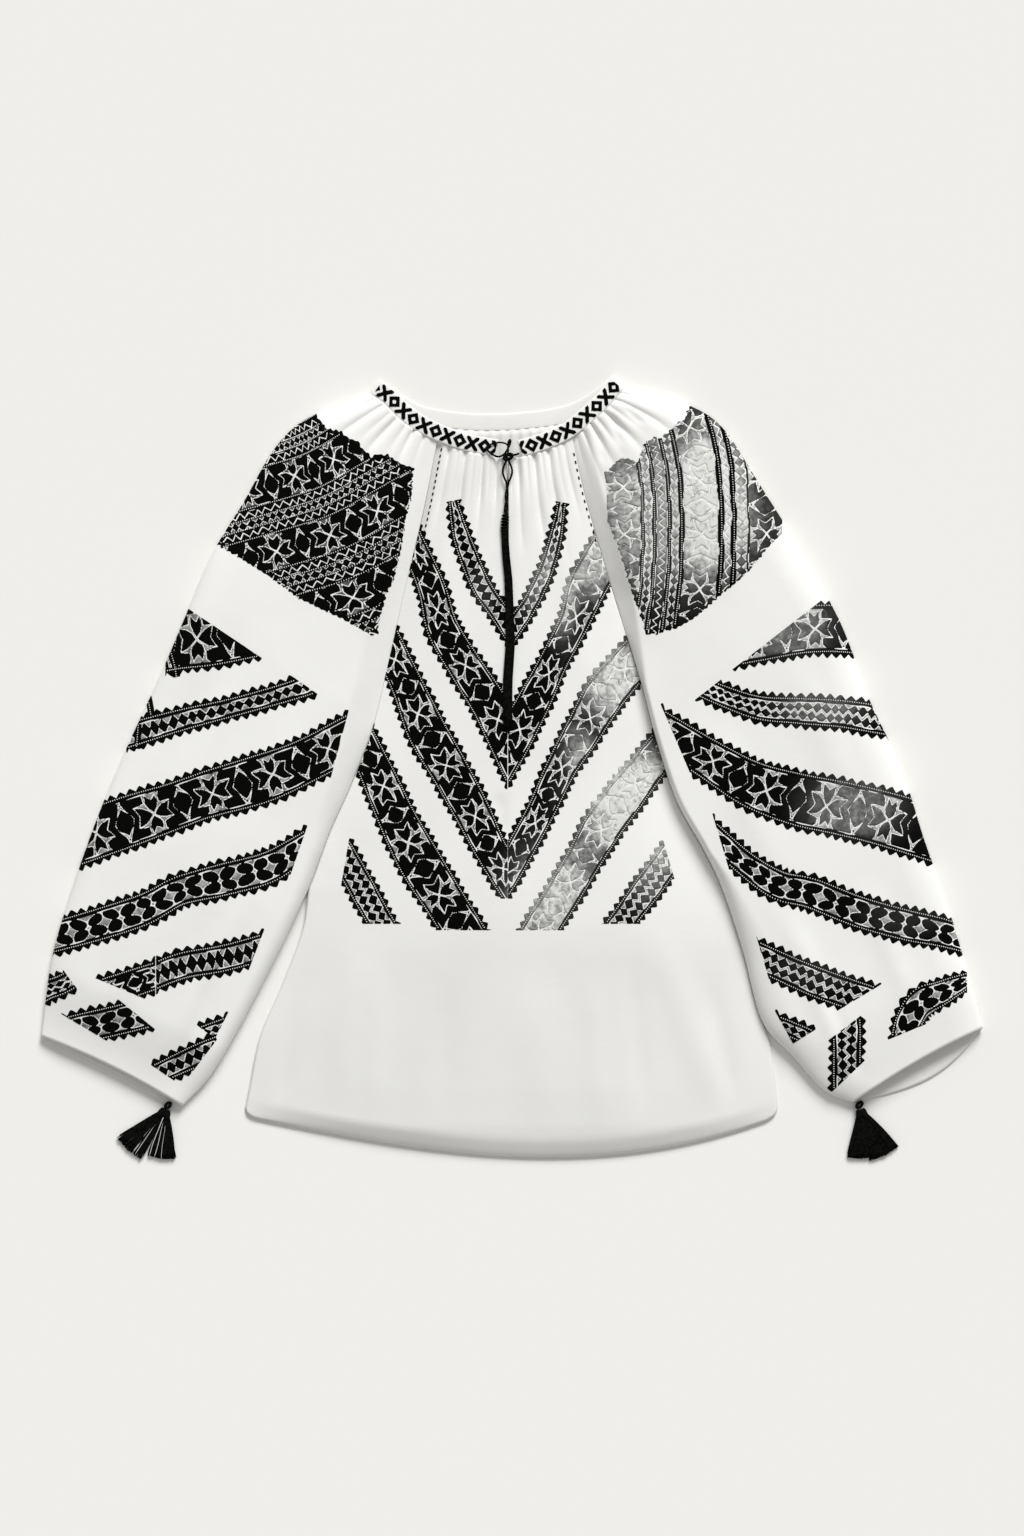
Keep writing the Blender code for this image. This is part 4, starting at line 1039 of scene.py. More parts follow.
@dataclass(frozen=True)
class Band:
    """One band of the pattern along a smooth middle line."""

    rows: Rows  # x, y, half width
    motif: Motif
    border: Border = BROAD
    half_period: float = STAR_HALF_PERIOD
    phase: float = 0.0
    pitch: float = 9.3
    cuts: Rows = ()  # lines x0, y0, x1, y1 whose left side is kept
    firm: int = 0  # the side (1 left, -1 right) whose border takes little of the painted sheen
    spread: float = 0.5  # how far the thread swells past the drawn half width

    def clip(self, x: Array, y: Array) -> Array:
        """How far places are on the kept side of every cut.

        Args:
            x, y: places in plan.
        Returns:
            The depth at each place.
        """
        depth = np.full(np.shape(x), 99.0)
        for x0, y0, x1, y1 in self.cuts:
            length = math.hypot(x1 - x0, y1 - y0)
            depth = np.minimum(depth, ((x1 - x0) * (y - y0) - (y1 - y0) * (x - x0)) / length)
        return depth

    def axes(self, s: Array) -> tuple[Array, Array, Array]:
        """Middle, direction across and half width at distances along the band.

        Args:
            s: distances along the band.
        Returns:
            A row for each distance.
        """
        route = Route(self.rows)
        share = s / route.length
        middle = route.at(share)
        ahead = unit((route.at(share + 0.02) - route.at(share - 0.02))[..., :2])
        across = np.stack([-ahead[..., 1], ahead[..., 0]], axis=-1)
        return middle[..., :2], across, middle[..., 2] + self.spread

    def patch(self, step: float) -> Patch:
        """The band's black on a grid of its own, a step apart.

        Args:
            step: the grid's spacing.
        Returns:
            The patch of thread.
        """
        route = Route(self.rows)
        widest = max(row[2] for row in self.rows) + self.spread + 1.5 * step
        s1 = np.linspace(0, route.length, int(route.length / step) + 1)
        t1 = np.linspace(-widest, widest, int(2 * widest / step) + 1)
        middle, across, half = self.axes(s1)
        s, t = np.meshgrid(s1, t1, indexing="ij")
        xy = middle[:, None] + across[:, None] * t[..., None]
        half = half[:, None] + 0 * t
        s_hand, t_hand = hand(s, t)
        e = half - np.abs(t + 0.6 * (t_hand - t))
        border = self.border.depth(s + 3.1 * np.sign(t) + 0.4 * (s_hand - s), e)
        room = np.maximum(half - self.border.bar_end - self.border.gap, 0.8)
        motif = filling(self.motif, s_hand + self.phase, t_hand, room, self.pitch, self.half_period)
        motif, tone = with_ground(motif, room - np.abs(t))
        clip = np.minimum(self.clip(xy[..., 0], xy[..., 1]), np.minimum(s, route.length - s))
        # Share of the painted sheen: less on the borders, least on the firm side
        sheen_share = np.where(border > motif, np.where(np.sign(t) == self.firm, 0.3, 0.85), 1.0)
        tone = np.where(border > motif, 0.0, tone)
        black = np.minimum(np.maximum(border, motif), clip)
        return Patch(s, t, xy[..., 0], xy[..., 1], black, sheen_share, tone)

    def seeds(self) -> tuple[Array, Array, Array]:
        """Places in plan of the light seed stitches on both bars, and the direction across the band there.

        Returns:
            Their x, their y, and the direction.
        """
        route = Route(self.rows)
        s = np.arange(2.0, route.length - 1.0, SEED_PITCH)
        middle, across, half = self.axes(s)
        aside = half - self.border.seed_line
        places, directions = [], []
        for offset in (aside, -aside) if self.border.bar_end else (0 * half,):
            xy = middle + across * offset[:, None]
            keep = self.clip(xy[:, 0], xy[:, 1]) > 1.2
            places.append(xy[keep])
            directions.append(across[keep])
        xy, across = np.vstack(places), np.vstack(directions)
        return xy[:, 0], xy[:, 1], across


@dataclass(frozen=True)
class Lane:
    """One lane of a shoulder panel: its start and end are distances across from the panel's spine."""

    start: float
    end: float
    motif: Motif
    # share of the painted sheen that the lane takes
    sheen_share: float = 1.0
    pitch: float = 8.8
    shift: float = 0.0
    seed_at: float | None = None  # distance of a line of seed stitches from the lane's start


@dataclass(frozen=True)
class ShoulderPanel:
    """The altita: a shoulder panel of flower rows with narrow geometric rows between them."""

    outline: Rows
    spine: Rows  # the middle line of one flower row, x, y, from one end of the panel to the other
    lanes: Sequence[Lane]
    half_period: float = 26.0
    worked: Rows = ()  # where the outline has a solid edge
    edge_width: float = 4.2
    ground: float = GROUND_TONE

    def patch(self, step: float) -> Patch:
        """The panel's black on a grid along its spine, kept inside its outline with a ragged edge.

        Args:
            step: the grid's spacing.
        Returns:
            The patch of thread.
        """
        route = Route(self.spine)
        low, high = min(lane.start for lane in self.lanes), max(lane.end for lane in self.lanes)
        s1 = np.linspace(0, route.length, int(route.length / step) + 1)
        u1 = np.linspace(low, high, int((high - low) / step) + 1)
        s, u, xy = self.lay(route, s1, u1)
        s_hand, u_hand = hand(s, u)
        black, sheen_share, tone = np.full(s.shape, OUTSIDE), np.ones(s.shape), np.zeros(s.shape)
        for lane in self.lanes:
            middle, half = (lane.start + lane.end) / 2, (lane.end - lane.start) / 2
            room = np.full(s.shape, half)
            depth = filling(lane.motif, s_hand + lane.shift, u_hand - middle, room, lane.pitch,
                            self.half_period)
            room = half + 0.2 - np.abs(u + 0.35 * (u_hand - u) - middle)
            depth, grey = with_ground(depth, room, self.ground)
            # each lane's share of the painted sheen
            sheen_share = np.where(depth > black, lane.sheen_share, sheen_share)
            tone = np.where(depth > black, grey, tone)
            black = np.maximum(black, depth)
        clip = inside(self.outline, xy[..., 0], xy[..., 1])
        ragged = 1.1 * np.sin(s * 0.83) * np.sin(u * 0.71)
        edge = np.minimum(self.edge_width - clip, 1.0) * self.worked_edge(xy)
        black = np.where(clip < self.edge_width + 0.8, np.maximum(black, edge), black)
        return Patch(s, u, xy[..., 0], xy[..., 1], np.minimum(black, clip + ragged), sheen_share, tone)

    def worked_edge(self, xy: Array) -> Array:
        """1 along the worked edge, and far below 0 elsewhere.

        Args:
            xy: places in plan.
        Returns:
            A value for each place.
        """
        if not self.worked:
            return np.full(xy.shape[:-1], OUTSIDE)
        return np.where(distance_to(np.array(self.worked, float), xy) < 7.0, 1.0, OUTSIDE)

    def lay(self, route: Route, s1: Array, u1: Array) -> tuple[Array, Array, Array]:
        """Places of a grid: out from the spine along the direction across it, averaged over the spine.

        Args:
            route: the spine.
            s1, u1: distances along it and across it.
        Returns:
            The distances and the place of each point.
        """
        share = s1 / route.length
        middle = route.at(share)[:, :2]
        ahead = unit(route.at(share + 0.12)[:, :2] - route.at(share - 0.12)[:, :2])
        across = np.stack([-ahead[:, 1], ahead[:, 0]], axis=-1)
        s, u = np.meshgrid(s1, u1, indexing="ij")
        return s, u, middle[:, None] + across[:, None] * u[..., None]

    def seeds(self) -> tuple[Array, Array, Array]:
        """Places of the light seed stitches along the lanes that carry them.

        Returns:
            Their x, their y, and the direction across the lane.
        """
        route = Route(self.spine)
        s1 = np.arange(1.0, route.length, SEED_PITCH)
        u1 = np.array([lane.start + lane.seed_at for lane in self.lanes if lane.seed_at is not None])
        _, _, xy = self.lay(route, s1, u1)
        across = unit(xy[:, -1:] - xy[:, :1]) + 0 * xy
        x, y, across = xy[..., 0].ravel(), xy[..., 1].ravel(), across.reshape(-1, 2)
        keep = inside(self.outline, x, y) > 2.0
        return x[keep], y[keep], across[keep]


# Corner numbers 0-3 run round a cell; 4-7 are the places between them. Each case lists the kept polygon.
CELL_CASES = {
    1: (0, 4, 7), 2: (1, 5, 4), 3: (0, 1, 5, 7), 4: (2, 6, 5), 6: (1, 2, 6, 4), 7: (0, 1, 2, 6, 7),
    8: (3, 7, 6), 9: (0, 4, 6, 3), 11: (0, 1, 5, 6, 3), 12: (2, 3, 7, 5), 13: (0, 4, 5, 2, 3),
    14: (1, 2, 3, 7, 4), 15: (0, 1, 2, 3), 5: (0, 4, 5, 2, 6, 7), 10: (1, 5, 6, 3, 7, 4),
}


def kept_cells(black: Array) -> tuple[list[Array], Array, Array, Array]:
    """Cuts the cells of a grid along the line where the depth is 0, and keeps the side above 0.

    Args:
        black: the depth at each grid point.
    Returns:
        Polygons by number of corners, and for each of their points the two grid points that it lies
        between and the share from the first to the second.
    """
    rows, columns = black.shape
    number = np.arange(rows * columns).reshape(rows, columns)
    total = rows * columns
    flat = black.ravel()
    i, j = np.meshgrid(np.arange(rows - 1), np.arange(columns - 1), indexing="ij")
    corners = np.stack([number[:-1, :-1], number[:-1, 1:], number[1:, 1:], number[1:, :-1]], -1)
    corners = corners.reshape(-1, 4)
    across = total + (i * columns + j).ravel()
    down = 2 * total + (i * columns + j).ravel()
    keys = np.column_stack([corners, across, down + 1, across + columns, down])
    case = ((flat[corners] > 0) * np.array((1, 2, 4, 8))).sum(1)
    polygons: dict[int, list[Array]] = {}
    for kind, order in CELL_CASES.items():
        polygons.setdefault(len(order), []).append(keys[case == kind][:, list(order)])
    faces = [np.vstack(p) for p in polygons.values()]
    used, numbers = np.unique(np.concatenate([f.ravel() for f in faces]), return_inverse=True)
    first = used % total
    second = np.where(used < total, first, np.where(used < 2 * total, first + 1, first + columns))
    second = np.minimum(second, total - 1)
    a, b = flat[first], flat[second]
    share = np.where(used < total, 0, np.clip(a / np.where(a == b, 1, a - b), 0.06, 0.94))
    ends = np.cumsum([f.size for f in faces])
    parts = np.split(numbers, ends[:-1])
    return [n.reshape(f.shape) for n, f in zip(parts, faces)], first, second, share


def blended(grid: Array, first: Array, second: Array, share: Array) -> Array:
    """Values between pairs of a grid's points: first * (1 - share) + second * share."""
    flat, share = grid.reshape(-1, grid.shape[-1]), share[:, None]
    return flat[first] * (1 - share) + flat[second] * share


@dataclass(frozen=True)
class SheenSpot:
    """A soft-edged place where the black thread is painted paler grey, as a painted sheen."""

    x: float
    y: float
    reach_x: float
    reach_y: float
    amount: float

    def at(self, x: Array, y: Array) -> Array:
        """amount * exp(-(distance in reaches)^4): level inside, and soft at the rim."""
        d = np.hypot((x - self.x) / self.reach_x, (y - self.y) / self.reach_y)
        return self.amount * np.exp(-(d**4))


Place = Callable[[Array, Array], Layer]


@dataclass
class Needlework:
    """All the raised thread on one face of one cloth."""

    name: str
    place: Place
    patches: Sequence[Band | ShoulderPanel]
    # spots of painted sheen, where the thread is painted paler grey
    faded: Sequence[SheenSpot]
    step: float = 0.8  # the grid that the thread is cut out of
    height: float = 0.55
    seed_height: float = 0.89
    side: float = 0.15  # height of the thread at its sides
    seed_size: tuple[float, float] = (0.46, 0.62)  # half widths at the foot

    def build(self, thread: Material, seed: Material) -> list[Piece]:
        """The black thread as one mesh and the light seed stitches as another.

        Args:
            thread, seed: the finishes of the two.
        Returns:
            Both pieces.
        """
        points, layers, faces, offset = [], [], [], 0
        for patch in (p.patch(self.step) for p in self.patches):
            polygons, xyz, values = self.raise_thread(patch)
            points.append(xyz)
            layers.append(values)
            faces += [f + offset for f in polygons if len(f)]
            offset += len(xyz)
        values = np.vstack(layers)
        # the paleness layer carries the ground thread's grey and the painted sheen
        black = make_mesh(f"{self.name}_black_thread", np.vstack(points), faces, thread,
                          {"stitch": values[:, :2], "faded": values[:, 2]})
        return [black, self.build_seeds(seed)]

    def raise_thread(self, patch: Patch) -> tuple[list[Array], Array, Array]:
        """One patch laid on the cloth: its rim just under the linen and its middle raised, like a pillow.

        Args:
            patch: the thread to lay.
        Returns:
            Polygons by number of corners, their points, and for each point s, t and how pale it is: the real
            grey of the ground thread, and painted sheen.
        """
        surface, normals, depth = self.place(patch.x, patch.y)
        black = np.minimum(patch.black, depth)
        polygons, first, second, share = kept_cells(black)
        fields = np.stack([patch.s, patch.t, patch.tone, patch.sheen_share], axis=-1)
        here, outward, fields = (blended(grid, first, second, share) for grid in (surface, normals, fields))
        tone, sheen_share = fields[:, 2], fields[:, 3]
        within = first == second  # a grid point inside the thread, not one on its rim
        inward = np.where(within, black.ravel()[first], 0.0)
        top = self.height * (1 - 0.6 * tone)
        lift = np.where(within, self.side + (top - self.side) * ease(inward / 0.9), -0.12)
        xyz = here + unit(outward) * lift[:, None]
        # Painted sheen: the thread is painted paler in the sheen spots, less at its rim, and the real grey of
        # the ground thread is added on top.
        faded = sum((spot.at(here[:, 0], here[:, 1]) for spot in self.faded), np.zeros(len(here)))
        faded = np.clip(faded, 0, 1) * sheen_share * np.where(within, 1.0, 0.6)
        faded = 1 - (1 - faded) * (1 - tone)
        if self.facing_down(patch):
            polygons = [f[:, ::-1] for f in polygons]
        return polygons, xyz, np.column_stack([fields[:, :2], faded])

    def facing_down(self, patch: Patch) -> bool:
        """Whether the grid's own winding has to be turned to face away from the cloth.

        Args:
            patch: the thread to lay.
        Returns:
            True if it has to be turned.
        """
        surface, normals, _ = self.place(patch.x[:2, :2], patch.y[:2, :2])
        across, down = surface[0, 1] - surface[0, 0], surface[1, 0] - surface[0, 0]
        return bool(np.dot(np.cross(across, down), normals[0, 0]) < 0)

    def build_seeds(self, seed: Material) -> Piece:
        """Each seed stitch as a small blunt pyramid across its bar.

        Args:
            seed: their finish.
        Returns:
            The piece.
        """
        x, y, across = (np.concatenate(c) for c in zip(*(p.seeds() for p in self.patches)))
        surface, normals, depth = self.place(x, y)
        keep = depth > 1.0
        surface, normals, across = surface[keep], normals[keep], across[keep]
        size = (*self.seed_size, self.seed_height)
        return studs(f"{self.name}_seed_stitches", surface, normals, across, size, seed)


def studs(name: str, places: Array, normals: Array, across: Array, size: tuple[float, float, float],
          thread: Material) -> Piece:
    """Small raised stitches, each a blunt pyramid.

    Args:
        name: the piece's name.
        places: where each stands.
        normals: the cloth's normals there.
        across: the direction in plan of each stitch's second half width.
        size: half widths at the foot, and the height.
        thread: its finish.
    Returns:
        The piece.
    """
    side = np.column_stack([across, np.zeros(len(across))])
    side = unit(side - normals * (side * normals).sum(-1, keepdims=True))
    along = np.cross(normals, side)
    corners = np.array(((-1, -1), (1, -1), (1, 1), (-1, 1)), float)
    rings = [places[:, None] + normals[:, None] * up + along[:, None] * (corners[:, :1] * size[0] * share)
             + side[:, None] * (corners[:, 1:] * size[1] * share)
             for share, up in ((1.0, 0.1), (0.7, size[2]))]
    points = np.concatenate(rings, axis=1)
    k = np.arange(4)
    n = (k + 1) % 4
    one = np.vstack([np.stack([k, n, n + 4, k + 4], axis=1), [(4, 5, 6, 7)]])
    faces = (one[None] + 8 * np.arange(len(points))[:, None, None]).reshape(-1, 4)
    return make_mesh(name, points.reshape(-1, 3), [faces], thread)


# ---------------------------------------------------------------- finishes


class Wiring:
    """Short names for adding and joining a material's nodes."""

    def __init__(self, name: str) -> None:
        """Starts a material with its shader and the piece's own coordinates.

        Args:
            name: the material's name.
        """
        self.material = bpy.data.materials.new(name)
        self.material.use_nodes = True
        self.tree = self.material.node_tree
        self.shader = self.tree.nodes["Principled BSDF"]
        self.coordinates = self.add("ShaderNodeTexCoord")

    def add(self, kind: str, **settings: object) -> bpy.types.Node:
        """A node with some of its settings or inputs; an input's spaces are written as underscores.

        Args:
            kind: the node's type.
            settings: values by name.
        Returns:
            The node.
        """
        node = self.tree.nodes.new(kind)
        for key, value in settings.items():
            if hasattr(node, key):
                setattr(node, key, value)
            else:
                node.inputs[key.replace("_", " ")].default_value = value
        return node

    def join(self, output: Socket, into: Socket) -> None:
        """Joins an output to an input."""
        self.tree.links.new(output, into)

    def noise(self, scale: float, detail: float = 3.0) -> Socket:
        """Soft noise on the object's coordinates.

        Args:
            scale, detail: the texture's own settings.
        Returns:
            Its output.
        """
        node = self.add("ShaderNodeTexNoise", Scale=scale, Detail=detail)
        self.join(self.coordinates.outputs["Object"], node.inputs["Vector"])
        return node.outputs["Fac"]

    def ramp(self, value: Socket, stops: Rows) -> Socket:
        """A colour ramp; each stop is its place, then red, green and blue.

        Args:
            value: what the ramp is read at.
            stops: the stops in order.
        Returns:
            Its output.
        """
        node = self.add("ShaderNodeValToRGB")
        elements = node.color_ramp.elements
        while len(elements) < len(stops):
            elements.new(0.5)
        for element, (place, *colour) in zip(elements, stops):
            element.position = place
            element.color = (*colour, 1.0)
        self.join(value, node.inputs["Fac"])
        return node.outputs["Color"]

    def maths(self, operation: str, a: object, b: object) -> Socket:
        """One step of arithmetic on sockets or numbers.

        Args:
            operation: its name.
            a, b: sockets or numbers.
        Returns:
            Its output.
        """
        node = self.add("ShaderNodeMath", operation=operation)
        for value, socket in zip((a, b), node.inputs):
            if isinstance(value, (int, float)):
                socket.default_value = value
            else:
                self.join(value, socket)
        return node.outputs[0]

    def bump(self, height: Socket, distance: float, strength: float = 1.0) -> None:
        """Adds a bump from a height, on top of any bump already there.

        Args:
            height: the height to read.
            distance: metres that a height of 1 stands for.
            strength: share of the effect.
        """
        node = self.add("ShaderNodeBump", Distance=distance, Strength=strength)
        self.join(height, node.inputs["Height"])
        normal = self.shader.inputs["Normal"]
        if normal.links:
            self.join(normal.links[0].from_socket, node.inputs["Normal"])
        self.join(node.outputs["Normal"], normal)


def waves_for(width: float) -> float:
    """The scale at which a wave texture shows one line in each width, in metres: pi / 10 / width."""
    return math.pi / 10 / width


Colour = tuple[float, float, float]


@dataclass(frozen=True)
class Linen:
    """Fine plain-woven white cloth, a little uneven in its yarns; a copy can be painted darker below a level,
    as painted shade.
    """

    name: str = "white_linen"
    yarn: float = 0.00055  # metres
    light: Colour = (0.85, 0.845, 0.82)
    dim: Colour = (0.80, 0.795, 0.77)
    # painted shade: darker colours below the level, when given
    painted_shade_light: Colour | None = None  # below the level, when it differs there
    painted_shade_dim: Colour | None = None
    level: float = -0.178  # metres, and how fast the one becomes the other above it
    blend: float = 22.0
    slub: tuple[float, float, float] = (900.0, 40.0, 40.0)  # thickenings, long along the yarn

    def make(self) -> Material:
        """Two crossed waves for the weave, uneven threads from stretched noise, and a soft fibre sheen.

        Returns:
            The material.
        """
        w = Wiring(self.name)
        shader = w.shader.inputs
        shader["Roughness"].default_value = 0.92
        shader["Sheen Weight"].default_value = 0.15
        shader["Sheen Roughness"].default_value = 0.5
        weave = []
        for turn in (0.0, math.pi / 2):
            place = w.add("ShaderNodeMapping")
            place.inputs["Rotation"].default_value = (0, 0, turn)
            w.join(w.coordinates.outputs["Object"], place.inputs["Vector"])
            wave = w.add("ShaderNodeTexWave", wave_profile="SIN", Scale=waves_for(self.yarn), Distortion=1.2)
            wave.inputs["Detail Scale"].default_value = 0.4
            w.join(place.outputs["Vector"], wave.inputs["Vector"])
            slub = w.add("ShaderNodeTexNoise", Scale=1.0, Detail=2.0)
            stretch = w.add("ShaderNodeMapping")
            across, along, deep = self.slub
            stretch.inputs["Scale"].default_value = (along, across, deep) if turn else self.slub
            w.join(w.coordinates.outputs["Object"], stretch.inputs["Vector"])
            w.join(stretch.outputs["Vector"], slub.inputs["Vector"])
            weave.append(w.maths("ADD", wave.outputs["Fac"], slub.outputs["Fac"]))
        cloth = w.maths("ADD", weave[0], weave[1])
        tone = w.ramp(w.noise(9.0, 4.0), ((0.3, *self.dim), (0.65, *self.light)))
        # Painted shade: below the level the colour turns darker.
        if self.painted_shade_light:
            lower = w.ramp(w.noise(9.0, 4.0), ((0.3, *self.painted_shade_dim), (0.65, *self.painted_shade_light)))
            place = w.add("ShaderNodeSeparateXYZ")
            w.join(w.coordinates.outputs["Object"], place.inputs["Vector"])
            above = w.maths("MULTIPLY", w.maths("SUBTRACT", place.outputs["Y"], self.level), self.blend)
            mix = w.add("ShaderNodeMix", data_type="RGBA")
            w.join(above, mix.inputs[0])
            w.join(lower, mix.inputs[6])
            w.join(tone, mix.inputs[7])
            tone = mix.outputs[2]
        w.join(tone, shader["Base Color"])
        w.bump(cloth, 0.00004, 0.5)
        w.bump(w.noise(60.0, 3.0), 0.0006, 0.25)
        return w.material


@dataclass(frozen=True)
class BlackThread:
    """Black cotton thread in close satin stitches, painted paler grey where its stored paleness is high: the
    real grey of the thin ground thread, and painted sheen in the sheen spots.
    """

    name: str = "black_thread"
    strand: float = 0.0006  # metres
    black: Colour = (0.0025, 0.0025, 0.0022)
    # colours from black to the palest grey, for the stored paleness of ground thread and painted sheen:
    # value, red, green, blue
    sheen_and_grey_colours: Rows = ((0.0, 0.0025, 0.0025, 0.0022), (0.35, 0.03, 0.03, 0.029), (0.6, 0.14, 0.14, 0.135),
                    (0.82, 0.4, 0.4, 0.39), (1.0, 0.7, 0.7, 0.68))
    stitched: bool = True  # whether the piece carries stitch and faded values

    def make(self) -> Material:
        """Stitch lines from waves across the band, a dry sheen, and paler greys by the piece's own values,
        which hold the ground thread's grey and the painted sheen.

        Returns:
            The material.
        """
        w = Wiring(self.name)
        shader = w.shader.inputs
        shader["Roughness"].default_value = 0.7
        shader["Specular IOR Level"].default_value = 0.015
        if self.stitched:
            uv = w.add("ShaderNodeUVMap", uv_map="stitch")
            wave = w.add("ShaderNodeTexWave", bands_direction="DIAGONAL", Scale=waves_for(self.strand),
                         Distortion=2.0, Detail=1.0)
            w.join(uv.outputs["UV"], wave.inputs["Vector"])
            lines = wave.outputs["Fac"]
            # Painted sheen: the stored paleness, made patchy by noise, picks paler greys from the ramp.
            faded = w.add("ShaderNodeAttribute", attribute_name="faded").outputs["Fac"]
            fine, broad = w.maths("MULTIPLY", w.noise(240.0), 0.8), w.maths("MULTIPLY", w.noise(85.0), 0.6)
            spots = w.maths("ADD", fine, broad)
            patchy = w.maths("MULTIPLY", faded, w.maths("ADD", spots, 0.32))
            w.join(w.ramp(patchy, self.sheen_and_grey_colours), shader["Base Color"])
        else:
            lines = w.noise(1600.0, 2.0)
            shade = w.ramp(w.noise(400.0), ((0.35, *self.black), (0.8, 0.012, 0.012, 0.011)))
            w.join(shade, shader["Base Color"])
        w.bump(lines, 0.00012, 0.6)
        return w.material


@dataclass(frozen=True)
class PaleThread:
    """The undyed thread of the seed stitches and the seams."""

    name: str = "pale_thread"

    def make(self) -> Material:
        """Off-white, with fine fuzz.

        Returns:
            The material.
        """
        w = Wiring(self.name)
        w.shader.inputs["Roughness"].default_value = 0.85
        shade = w.ramp(w.noise(500.0), ((0.3, 0.72, 0.715, 0.69), (0.7, 0.86, 0.855, 0.83)))
        w.join(shade, w.shader.inputs["Base Color"])
        w.bump(w.noise(1800.0), 0.0001, 0.4)
        return w.material


@dataclass(frozen=True)
class FloorPaint:
    """Pale matt paint."""

    name: str = "pale_floor"
    colour: Colour = (0.86, 0.853, 0.825)

    def make(self) -> Material:
        """One plain colour, with hardly any gloss.

        Returns:
            The material.
        """
        w = Wiring(self.name)
        w.shader.inputs["Roughness"].default_value = 0.95
        w.shader.inputs["Base Color"].default_value = (*self.colour, 1)
        w.shader.inputs["Specular IOR Level"].default_value = 0.1
        return w.material


# ---------------------------------------------------------------- neckband and tie


@dataclass
class NeckBand:
    """The neckband: a strip on edge round the neck, folded flat at both shoulders, with a worked front."""

    width: float = 16.0
    wall: float = 1.6
    back_z: float = 1.4  # heights of the middle line at the back, at the shoulders and in front
    tip_z: float = 8.0
    front_z: float = 12.6
    rise: float = 45.0  # how far from the shoulder the front half still rises
    sides: int = 20
    motif_height: float = 0.55
    motif_step: float = 0.6
    motif_period: float = 24.3

    def run(self, rows: Rows, count: int, turn: int) -> tuple[Array, Array, Array]:
        """Shares, places and directions of the width along one stretch.

        Args:
            rows: its middle line.
            count: how many places.
            turn: -1 to turn the directions round.
        Returns:
            Distances along it, places in plan and directions.
        """
        route = Route(rows)
        share = np.linspace(0, 1, count)
        ahead = unit(route.at(share + 0.01) - route.at(share - 0.01))
        width = np.column_stack([-ahead[:, 1], ahead[:, 0], np.zeros(count)]) * turn
        return share * route.length, route.at(share), width

    def front_level(self, left_over: Array) -> Array:
        """Height of the front half by the distance that is left to the shoulder's tip."""
        return self.tip_z + (self.front_z - self.tip_z) * ease(left_over / self.rise)

    def path(self) -> tuple[Array, Array]:
        """Middle line and width directions: front right, fold, back, fold, front left.

        Returns:
            A place and a direction of the width for each ring.
        """
        halves = []
        for rows, turn in ((BAND_RIGHT_HALF, -1), (BAND_LEFT_HALF, 1)):
            along, xy, width = self.run(rows, 60, turn)
            halves.append((np.column_stack([xy, self.front_level(along[-1] - along)]), width))
        (right, right_width), (left, left_width) = halves
        left, left_width = left[::-1], left_width[::-1]
        _, xy, back_width = self.run((BAND_FRONT[0],) + BAND_BACK + (BAND_FRONT[-1],), 110, 1)
        back = np.column_stack([xy, np.full(len(xy), self.back_z)])
        right_width[-1] = back_width[0] = unit(right_width[-1] + back_width[0])
        left_width[0] = back_width[-1] = unit(left_width[0] + back_width[-1])
        turn = np.radians(np.arange(20.0, 180.0, 20.0))
        folds = [self.fold(corner, tip, turn) for corner, tip in ((BAND_FRONT[0], TIP_RIGHT),
                                                                  (BAND_FRONT[-1], TIP_LEFT))]
        path = np.vstack([right, folds[0], back, folds[1][::-1], left])
        width = np.vstack([right_width, np.tile(back_width[0], (len(turn), 1)), back_width,
                           np.tile(back_width[-1], (len(turn), 1)), left_width])
        return path, width

    def fold(self, corner: tuple, tip: tuple, angles: Array) -> Array:
        """A half circle at a shoulder, out from the front half and back under it.

        Args:
            corner, tip: where the fold starts and where it is outermost.
            angles: counted from the front half.
        Returns:
            A place for each angle.
        """
        outward = np.append(unit(np.array(tip) - np.array(corner, float)), 0)
        centre = np.append(np.array(corner, float), (self.tip_z + self.back_z) / 2)
        high = (self.tip_z - self.back_z) / 2
        return (centre + BAND_TIP_RADIUS * outward * np.sin(angles)[:, None]
                + high * np.array((0, 0, 1.0)) * np.cos(angles)[:, None])

    def build(self, linen: Material) -> Piece:
        """Rings round the path: a flat oval with full edges, across cos^0.45 and up sin^0.7 of the angle.

        Args:
            linen: its finish.
        Returns:
            The piece.
        """
        path, width = self.path()
        out = unit(np.cross(width, np.gradient(path, axis=0)))
        angle = np.linspace(0, 2 * math.pi, self.sides, endpoint=False)
        c, s = np.cos(angle), np.sin(angle)
        across = np.sign(c) * np.abs(c) ** 0.45 * self.width / 2
        high = np.sign(s) * np.abs(s) ** 0.7 * self.wall / 2
        rings = path[:, None] + width[:, None] * across[None, :, None] + out[:, None] * high[None, :, None]
        points = np.vstack([path[:1], rings.reshape(-1, 3), path[-1:]])
        k = np.arange(self.sides)
        n = (k + 1) % self.sides
        end = 1 + (len(path) - 1) * self.sides
        faces = np.vstack([grid_faces(len(path), self.sides, wrap=True) + 1,
                           np.stack([np.zeros_like(k), 1 + k, 1 + n, 1 + n], 1),
                           np.stack([np.full_like(k, len(points) - 1), end + n, end + k, end + k], 1)])
        a, b, c = (points[faces[:, corner]] for corner in range(3))
        volume = np.einsum("ij,ij->i", a, np.cross(b, c)).sum()
        faces = faces if volume > 0 else triangle_safe_flip(faces)
        return make_mesh("neckband_linen", points, triangles_and_quads(faces), linen)

